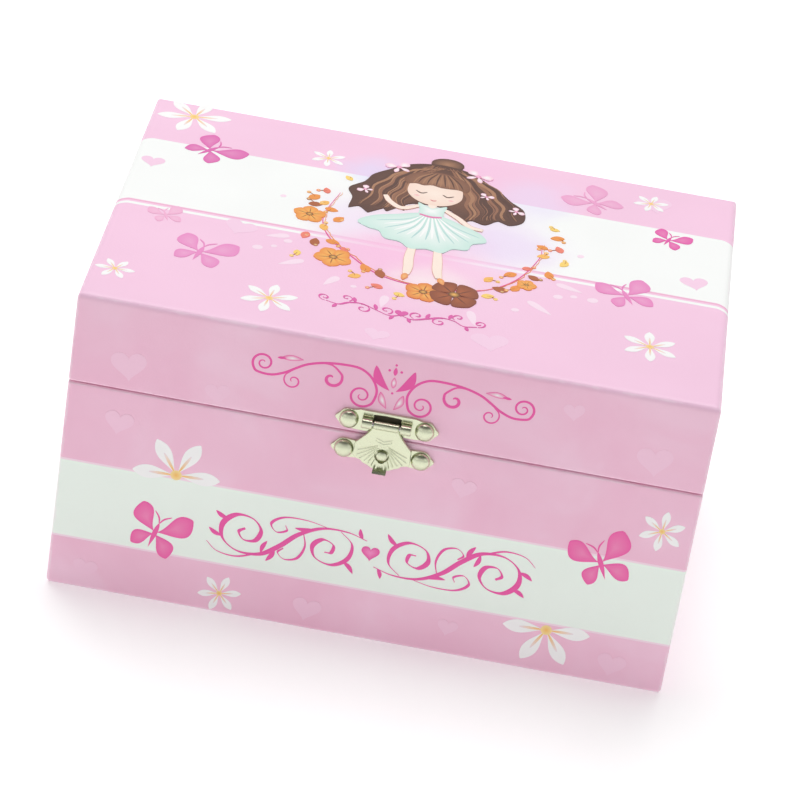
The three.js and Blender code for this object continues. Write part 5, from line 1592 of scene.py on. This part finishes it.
frame_rings = np.array([framed(share, z) for share, z in CROWN])
satin_frame = piece(
    "satin_mirror_frame", *loft(frame_rings, closed=True), finishes["satin_board"], "lid", "satin_board",
    ["mirror_frame"], 50,
)
rounded_copy("mirror", 0.2)
for node in ("stop_peg", "stop_plunger"):
    rounded_copy(node, 0.15)
deck_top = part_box("stage_deck")[1][2] * 1000
x, y, _ = middle("doll_spindle")
GROMMET = [
    (2.65, -0.5), (2.65, 0.28), (2.9, 0.5), (3.5, 0.5), (3.95, 0.3), (4.05, 0.02), (3.4, 0.02), (3.4, -0.5),
]
piece("stage_grommet", *turned(GROMMET, (x, y, deck_top), "z", 40, True), nickel, "base", "nickel")
print("mirror frame:", len(satin_frame.data.polygons), "faces")

# %% [markdown]
# ## The dancer
#
# The doll is moulded plastic: one solid shape with arms in a ring over her head, a painted leotard and
# shoes, and hair in a bun. Separate tubes for limbs would show hard joins, so the tubes and ovals are
# melted into one skin by a voxel remesh, which rounds the creases as a mould does. The paint is then
# given by place, coat over coat, and one material reads it. She lies folded forwards under the lid, and
# stands when it opens.

# %% Doll frame and limb helpers
FOLD = np.array([0.0, 29.5, 57.0])


def doll_place(points):
    """Points of the standing doll (x, depth, height above the fold) put where she lies at rest."""
    x, y, z = np.asarray(points, float).reshape(-1, 3).T
    return np.column_stack([x, FOLD[1] - z, FOLD[2] + y])


def limb(path, radii, flat=1.0, sides=14, per=5):
    """A tube with round ends along a smooth path: rings square to the path, flat squeezes them in depth."""
    path = smooth_open(path, per)
    radius = np.interp(np.linspace(0, 1, len(path)), np.linspace(0, 1, len(radii)), radii)
    along = np.gradient(path, axis=0)
    along /= np.linalg.norm(along, axis=1, keepdims=True)
    first = np.cross(along, (0, 1, 0.02))
    first /= np.linalg.norm(first, axis=1, keepdims=True)
    second = np.cross(along, first) * flat
    a = np.linspace(0, 2 * np.pi, sides, endpoint=False)[:, None]
    rings = [c + r * (np.cos(a) * u + np.sin(a) * v) for c, r, u, v in zip(path, radius, first, second)]
    ends = []
    for end, way in ((0, -1), (-1, 1)):
        c, r, u, v, t = path[end], radius[end], first[end], second[end], along[end] * way
        ends.append([
            c + t * r * 0.8 * math.sin(b) + r * math.cos(b) * (np.cos(a) * u + np.sin(a) * v)
            for b in (0.4, 0.8, 1.15, 1.45)
        ])
    return loft(ends[0][::-1] + rings + ends[1])


def egg(centre, rx, ry, rz, rings=14, sides=20):
    """An ellipsoid as a stack of rings."""
    b = np.linspace(-np.pi / 2 + 0.12, np.pi / 2 - 0.12, rings)
    a = np.linspace(0, 2 * np.pi, sides, endpoint=False)
    x, y = np.outer(np.cos(b), np.cos(a)) * rx, np.outer(np.cos(b), np.sin(a)) * ry
    z = np.repeat(np.sin(b)[:, None], sides, 1) * rz
    return loft(np.stack([x, y, z], -1) + np.asarray(centre, float))


TOE, WAIST, SHOULDER = 10.5, 31.5, 40.5
HEAD = TOE + 36.6
parts = [
    limb([(0, 0.3, 27.0), (0, 0.1, 29.0), (0, 0, WAIST), (0, -0.1, 34.5), (0, -0.2, 38.0), (0, 0, SHOULDER)],
         [2.9, 2.6, 1.9, 2.3, 2.7, 1.5], 0.75, 20),
    limb([(0, 0, 39.5), (0, 0, 43.4)], [1.15, 1.0]),
    egg((0, -0.1, HEAD), 3.3, 3.3, 3.75),
    egg((0, -1.0, HEAD - 1.9), 2.1, 2.1, 1.9),
    egg((0, -3.3, HEAD - 0.55), 0.42, 0.5, 0.5, 8, 12),
    egg((0, 0.75, HEAD + 0.8), 3.35, 3.05, 3.5),
    egg((0, 1.5, HEAD + 3.9), 1.75, 1.75, 1.5),
    egg((0, 0.6, 27.6), 3.0, 2.5, 2.3),
]
LEG = [(1.35, 0.2, 27.5), (1.5, -0.1, 23.5), (1.15, -0.1, 19.4), (1.15, 0.25, 16.5), (0.75, 0, 13.0)]
FOOT = [(0.75, 0, 13.4), (0.7, -0.25, 12.2), (0.6, -0.25, TOE + 0.5)]
ARM = [
    (2.3, 0, SHOULDER - 0.2), (5.2, -0.6, 43.0), (6.4, -1.0, 47.0), (5.4, -0.9, 51.2), (3.0, -0.9, 54.2),
    (0.9, -0.9, 55.1),
]
for side in (-1, 1):
    for path, radii, flat in (
        (LEG, [1.75, 1.5, 1.05, 1.15, 0.75], 1.0), (FOOT, [0.8, 0.85, 0.5], 1.1),
        (ARM, [1.05, 0.85, 0.72, 0.62, 0.55, 0.42], 1.0),
    ):
        parts.append(limb(np.array(path) * (side, 1, 1), radii, flat))
parts.append(limb([(0, 0, TOE + 2.2), (0, 0, TOE - 0.8)], [0.9, 1.0]))
print("figure from", len(parts), "parts, head middle", HEAD, "mm above the fold")

# %% Melt the figure and paint it
rough = enlarged("figure_raw", *gather(parts))
turn_out(rough.data)
voxel_skin(rough, VOXEL_DOLL)
ease = rough.modifiers.new("ease", "SMOOTH")
ease.factor, ease.iterations = 0.5, 4
melted = applied(rough)
skin_points = points_of(melted) / SIM_SCALE * 1000
skin_faces = [list(p.vertices) for p in melted.polygons]
bpy.data.objects.remove(rough)


def near(points, centre, sizes):
    """Distance from centre where each direction is measured in its own size; 1 is the ellipsoid."""
    return np.linalg.norm((points - centre) / sizes, axis=1)


def cover(values, share, colour):
    """values moved towards colour by share, point by point."""
    share = np.clip(share, 0, 1)[:, None]
    return values * (1 - share) + np.array(colour) * share


x, y, z = skin_points.T
ROSE, SATIN, TIGHTS, HAIR_PAINT = rgb(240, 130, 178), rgb(236, 120, 168), rgb(250, 222, 222), rgb(112, 68, 44)
neckline = 39.2 - 1.0 * np.cos(x * 0.9)
leotard = np.clip((z - 25.2) / 0.25, 0, 1) * np.clip((neckline - z) / 0.2, 0, 1) * (np.abs(x) < 3.1)
crossing = (z - 14.6) * 1.6
laced = np.abs(crossing + np.abs(x) * 0.6 - np.round(crossing / 2) * 2) < 0.22
hair_edge = -0.7 + 1.9 * np.clip((HEAD + 1.6 - z) / 4, -0.9, 1)
hair = (z > HEAD - 2.6) & (z < HEAD + 6) & (np.abs(x) < 3.9) & (
    (y > hair_edge) | (z > HEAD + 2.55 - 0.12 * np.abs(x) ** 1.5)
)
in_front = y < -1.6
coats = [
    (leotard, ROSE),
    (np.clip((25.4 - z) / 0.25, 0, 1), TIGHTS),
    (np.clip((13.3 - z) / 0.2, 0, 1), SATIN),
    ((laced & (z > 13.2) & (z < 16.4)) * 0.8, SATIN),
    (hair * 1.0, HAIR_PAINT),
    (((np.abs(z - HEAD - 3.55) < 0.28) & (np.abs(x) < 2.6)) * 1.0, ROSE),
]
for side in (-1, 1):
    eye = near(skin_points, (side * 1.25, -3.1, HEAD + 0.12), (0.5, 1.2, 0.42))
    brow = near(skin_points, (side * 1.3, -3.0, HEAD + 1.15), (0.72, 1.3, 0.14))
    cheek = near(skin_points, (side * 1.75, -2.6, HEAD - 0.95), (0.75, 1.2, 0.55))
    coats += [
        (((eye < 1) & in_front & (z > HEAD)) * 1.0, rgb(58, 36, 30)),
        (((brow < 1) & in_front) * 0.8, rgb(124, 82, 58)),
        (np.clip(1 - cheek, 0, 1) * 0.9 * in_front, rgb(244, 150, 150)),
    ]
lips = near(skin_points, (0, -3.1, HEAD - 1.75), (0.62, 1.2, 0.24))
coats.append((((lips < 1) & in_front) * 1.0, rgb(214, 84, 104)))
paint = np.tile(np.array(rgb(250, 220, 196)), (len(x), 1))
for share, colour in coats:
    paint = cover(paint, share, colour)

figure_finish, tree, shader, place = material("painted_doll", Coat_Weight=0.25, Coat_Roughness=0.2)
stored = put(tree, "Attribute", attribute_name="ink").outputs["Color"]
grain = use_group(tree, grain_group, Vector=place, Size=2600.0, Depth=0.05, Patch=300.0)
tone = calc(tree, "MULTIPLY_ADD", grain["Tone"], 0.1, 0.95)
toned = blend_colour(tree, 1.0, stored, tone, "MULTIPLY")
marks = use_group(tree, handling_group, Vector=place, Clean=0.28, Smudged=0.42, Scratch=0.02)
wire_up(tree, shader, Base_Color=toned, Roughness=marks["Roughness"], Normal=grain["Normal"])
smoothed(piece(
    "dancer", doll_place(skin_points), skin_faces, figure_finish, "ballerina", "doll_plastic",
    ["ballerina"], 80, paint,
))
print("dancer:", len(skin_faces), "faces before smoothing")

# %% [markdown]
# ## Tutu and spring
#
# The tutu is tulle gathered at the waist: three rings of cloth whose outer edge is longer than a circle
# of that size, so it has to wave up and down. Each layer is a thin closed shell whose height is a sine
# of the angle, and the wave grows towards the edge. The layers have different numbers of waves.
#
# The spring under her bends when the lid shuts. The coil is drawn straight first and each point is then
# turned back by its own share of the fold, so that it is straight when she stands.

# %% Tutu
tulle, tree, shader, place = material("tulle_net", Roughness=0.8, Sheen_Weight=0.5, Sheen_Roughness=0.5)
net = put(tree, "TexVoronoi", {"Vector": place, "Scale": 2200.0}, feature="DISTANCE_TO_EDGE")
thread = step_up(tree, net.outputs["Distance"], 0.16, 0.05)
holes = calc(tree, "MULTIPLY_ADD", thread, 0.5, 0.5)
grain = use_group(tree, grain_group, Vector=place, Size=1400.0, Depth=0.3, Patch=160.0)
pinks = blend_colour(tree, grain["Tone"], rgb(246, 176, 208), rgb(253, 216, 234))
wire_up(tree, shader, Alpha=holes, Base_Color=pinks, Normal=grain["Normal"])


def frill(inner, outer, height, droop, waves, swing, shift, thick=0.09, rows=14, around=360):
    """One layer: height falls by droop and swings by a sine of waves periods that grows with radius."""
    a = np.linspace(0, 2 * np.pi, around, endpoint=False)[None, :]
    s = np.linspace(0, 1, rows)[:, None]
    edge = 1 + 0.018 * np.sin(3 * waves * a + shift)
    r = inner + (outer - inner) * s * edge**s
    ripple = 0.35 * np.sin(2.3 * np.round(waves / 2.3) * a + 2 * shift)
    lift = swing * s**1.3 * (np.sin(waves * a + shift) + ripple)
    up = height - droop * s**1.6 + lift
    top = np.stack([r * np.cos(a), r * np.sin(a), up + thick / 2], -1)
    under = np.stack([r * np.cos(a), r * np.sin(a), up - thick / 2], -1)
    return loft(np.concatenate([top, under[::-1]]), closed=True)


FRILLS = (
    (1.9, 12.2, 0.1, 0.5, 20, 0.42, 0.0), (1.9, 11.6, -0.75, 0.9, 24, 0.4, 1.1),
    (1.9, 10.8, -1.6, 1.3, 27, 0.36, 2.3),
)
frills, frill_faces = gather([frill(inner, outer, WAIST + up, *rest) for inner, outer, up, *rest in FRILLS])
tutu = piece("tutu_frills", doll_place(frills), frill_faces, tulle, "ballerina", "tulle", ["tutu"], 60)
corners = frills[frill_faces]
crossed = np.cross(corners[:, 2] - corners[:, 0], corners[:, 3] - corners[:, 1])
cloth_area = np.linalg.norm(crossed, axis=1).sum() / 4
print("tutu:", len(frill_faces), "faces,", round(cloth_area), "mm2 of net in three ruffled rings")

# %% Bending spring
START, END = np.array([0, 29.5, 49.7]), np.array([0, 22.2, 57.0])
TURNS, COIL, WIRE = 9.0, 2.05, 0.36


def fold_share(points):
    """How far each resting point follows the doll: the smoothstep of its place between START and END."""
    along = END - START
    t = np.clip((points - START) @ along / (along @ along), 0, 1)
    return t * t * (3 - 2 * t)


def bent(points):
    """Where points of the standing spring are at rest: the turn that the blend undoes, found by
    repetition."""
    flat = points[:, 1:] - FOLD[1:]
    here = points.copy()
    for _ in range(60):
        a = fold_share(here) * np.pi / 2
        turned_yz = np.column_stack([
            flat[:, 0] * np.cos(a) - flat[:, 1] * np.sin(a), flat[:, 0] * np.sin(a) + flat[:, 1] * np.cos(a)
        ])
        here = np.column_stack([points[:, 0], 0.5 * here[:, 1:] + 0.5 * (turned_yz + FOLD[1:])])
    return here


t = np.linspace(0, 1, 400)
low, high = 49.3, FOLD[2] + 7.9
turn = 2 * np.pi * TURNS * t
ends = 1 - np.clip((np.abs(t - 0.5) - 0.44) / 0.06, 0, 1) * 0.35
spine = np.column_stack([
    COIL * ends * np.cos(turn), FOLD[1] + COIL * ends * np.sin(turn), low + (high - low) * t
])
along = np.gradient(spine, axis=0)
along /= np.linalg.norm(along, axis=1, keepdims=True)
out = np.column_stack([np.cos(turn), np.sin(turn), 0 * t])
side = np.cross(along, out)
a = np.linspace(0, 2 * np.pi, 8, endpoint=False)
round_wire = np.cos(a)[None, :, None] * out[:, None] + np.sin(a)[None, :, None] * side[:, None]
wire = spine[:, None] + WIRE / 2 * round_wire
coil_points, coil_faces = loft(bent(wire.reshape(-1, 3)).reshape(wire.shape))
spring = piece(
    "bending_spring", coil_points, coil_faces, finishes["spring_steel"], None, "spring_steel",
    ["doll_spring"], 50,
)
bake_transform(spring, "base", "doll_carrier", start=tuple(START / 1000), end=tuple(END / 1000))
for node in ("doll_spindle", "doll_ferrule"):
    rounded_copy(node, 0.12, 2)
print("spring:", len(coil_points), "points, straight when she stands")

# %% [markdown]
# ## Hinges and winding key
#
# Behind the box are two butt hinges and the key of the clockwork. They are the CAD shapes with
# bevelled edges, because stamped and cast metal never has a knife edge: the bevels are what catches
# the light.

# %% Back hardware
for node in (
    "hinge_left_base_leaf", "hinge_right_base_leaf", "hinge_left_lid_leaf", "hinge_right_lid_leaf",
):
    rounded_copy(node, 0.12, 2)
rounded_copy("wind_key", 0.45, 3)
EYELET = [
    (3.35, -0.6), (3.35, 0.25), (3.6, 0.45), (4.4, 0.45), (5.0, 0.25), (5.1, 0.02), (4.2, 0.02), (4.2, -0.6),
]
KEY_HEIGHT = 22.0
eyelet = turned(EYELET, (0, BOX_Y, KEY_HEIGHT), "y", 40, True)
piece("key_eyelet", *eyelet, nickel, "base", "nickel")
print("key at", middle("wind_key").round(1))

# %% [markdown]
# ## Floor
#
# The box stands on a plain pale sheet that glows a little, so that it fades into the world around it.
# The sheet is not part of the box: it is attached to none of its bodies.

# %% Floor
FLOOR = 3.0  # metres from the middle to each side
floor_finish = grained("floor", rgb(252, 252, 252), rgb(254, 254, 254), 0.8, 60.0, 0.02, 6.0,
                       Emission_Color=(1, 1, 1, 1), Emission_Strength=0.28)
floor_mesh = bpy.data.meshes.new("floor")
floor_corners = [(FLOOR * x, FLOOR * y, 0) for x, y in ((-1, -1), (1, -1), (1, 1), (-1, 1))]
floor_mesh.from_pydata(floor_corners, [], [(0, 1, 2, 3)])
floor_mesh.materials.append(floor_finish)
floor = bpy.data.objects.new("floor", floor_mesh)
bpy.context.scene.collection.objects.link(floor)
print("floor:", 2 * FLOOR, "m wide")
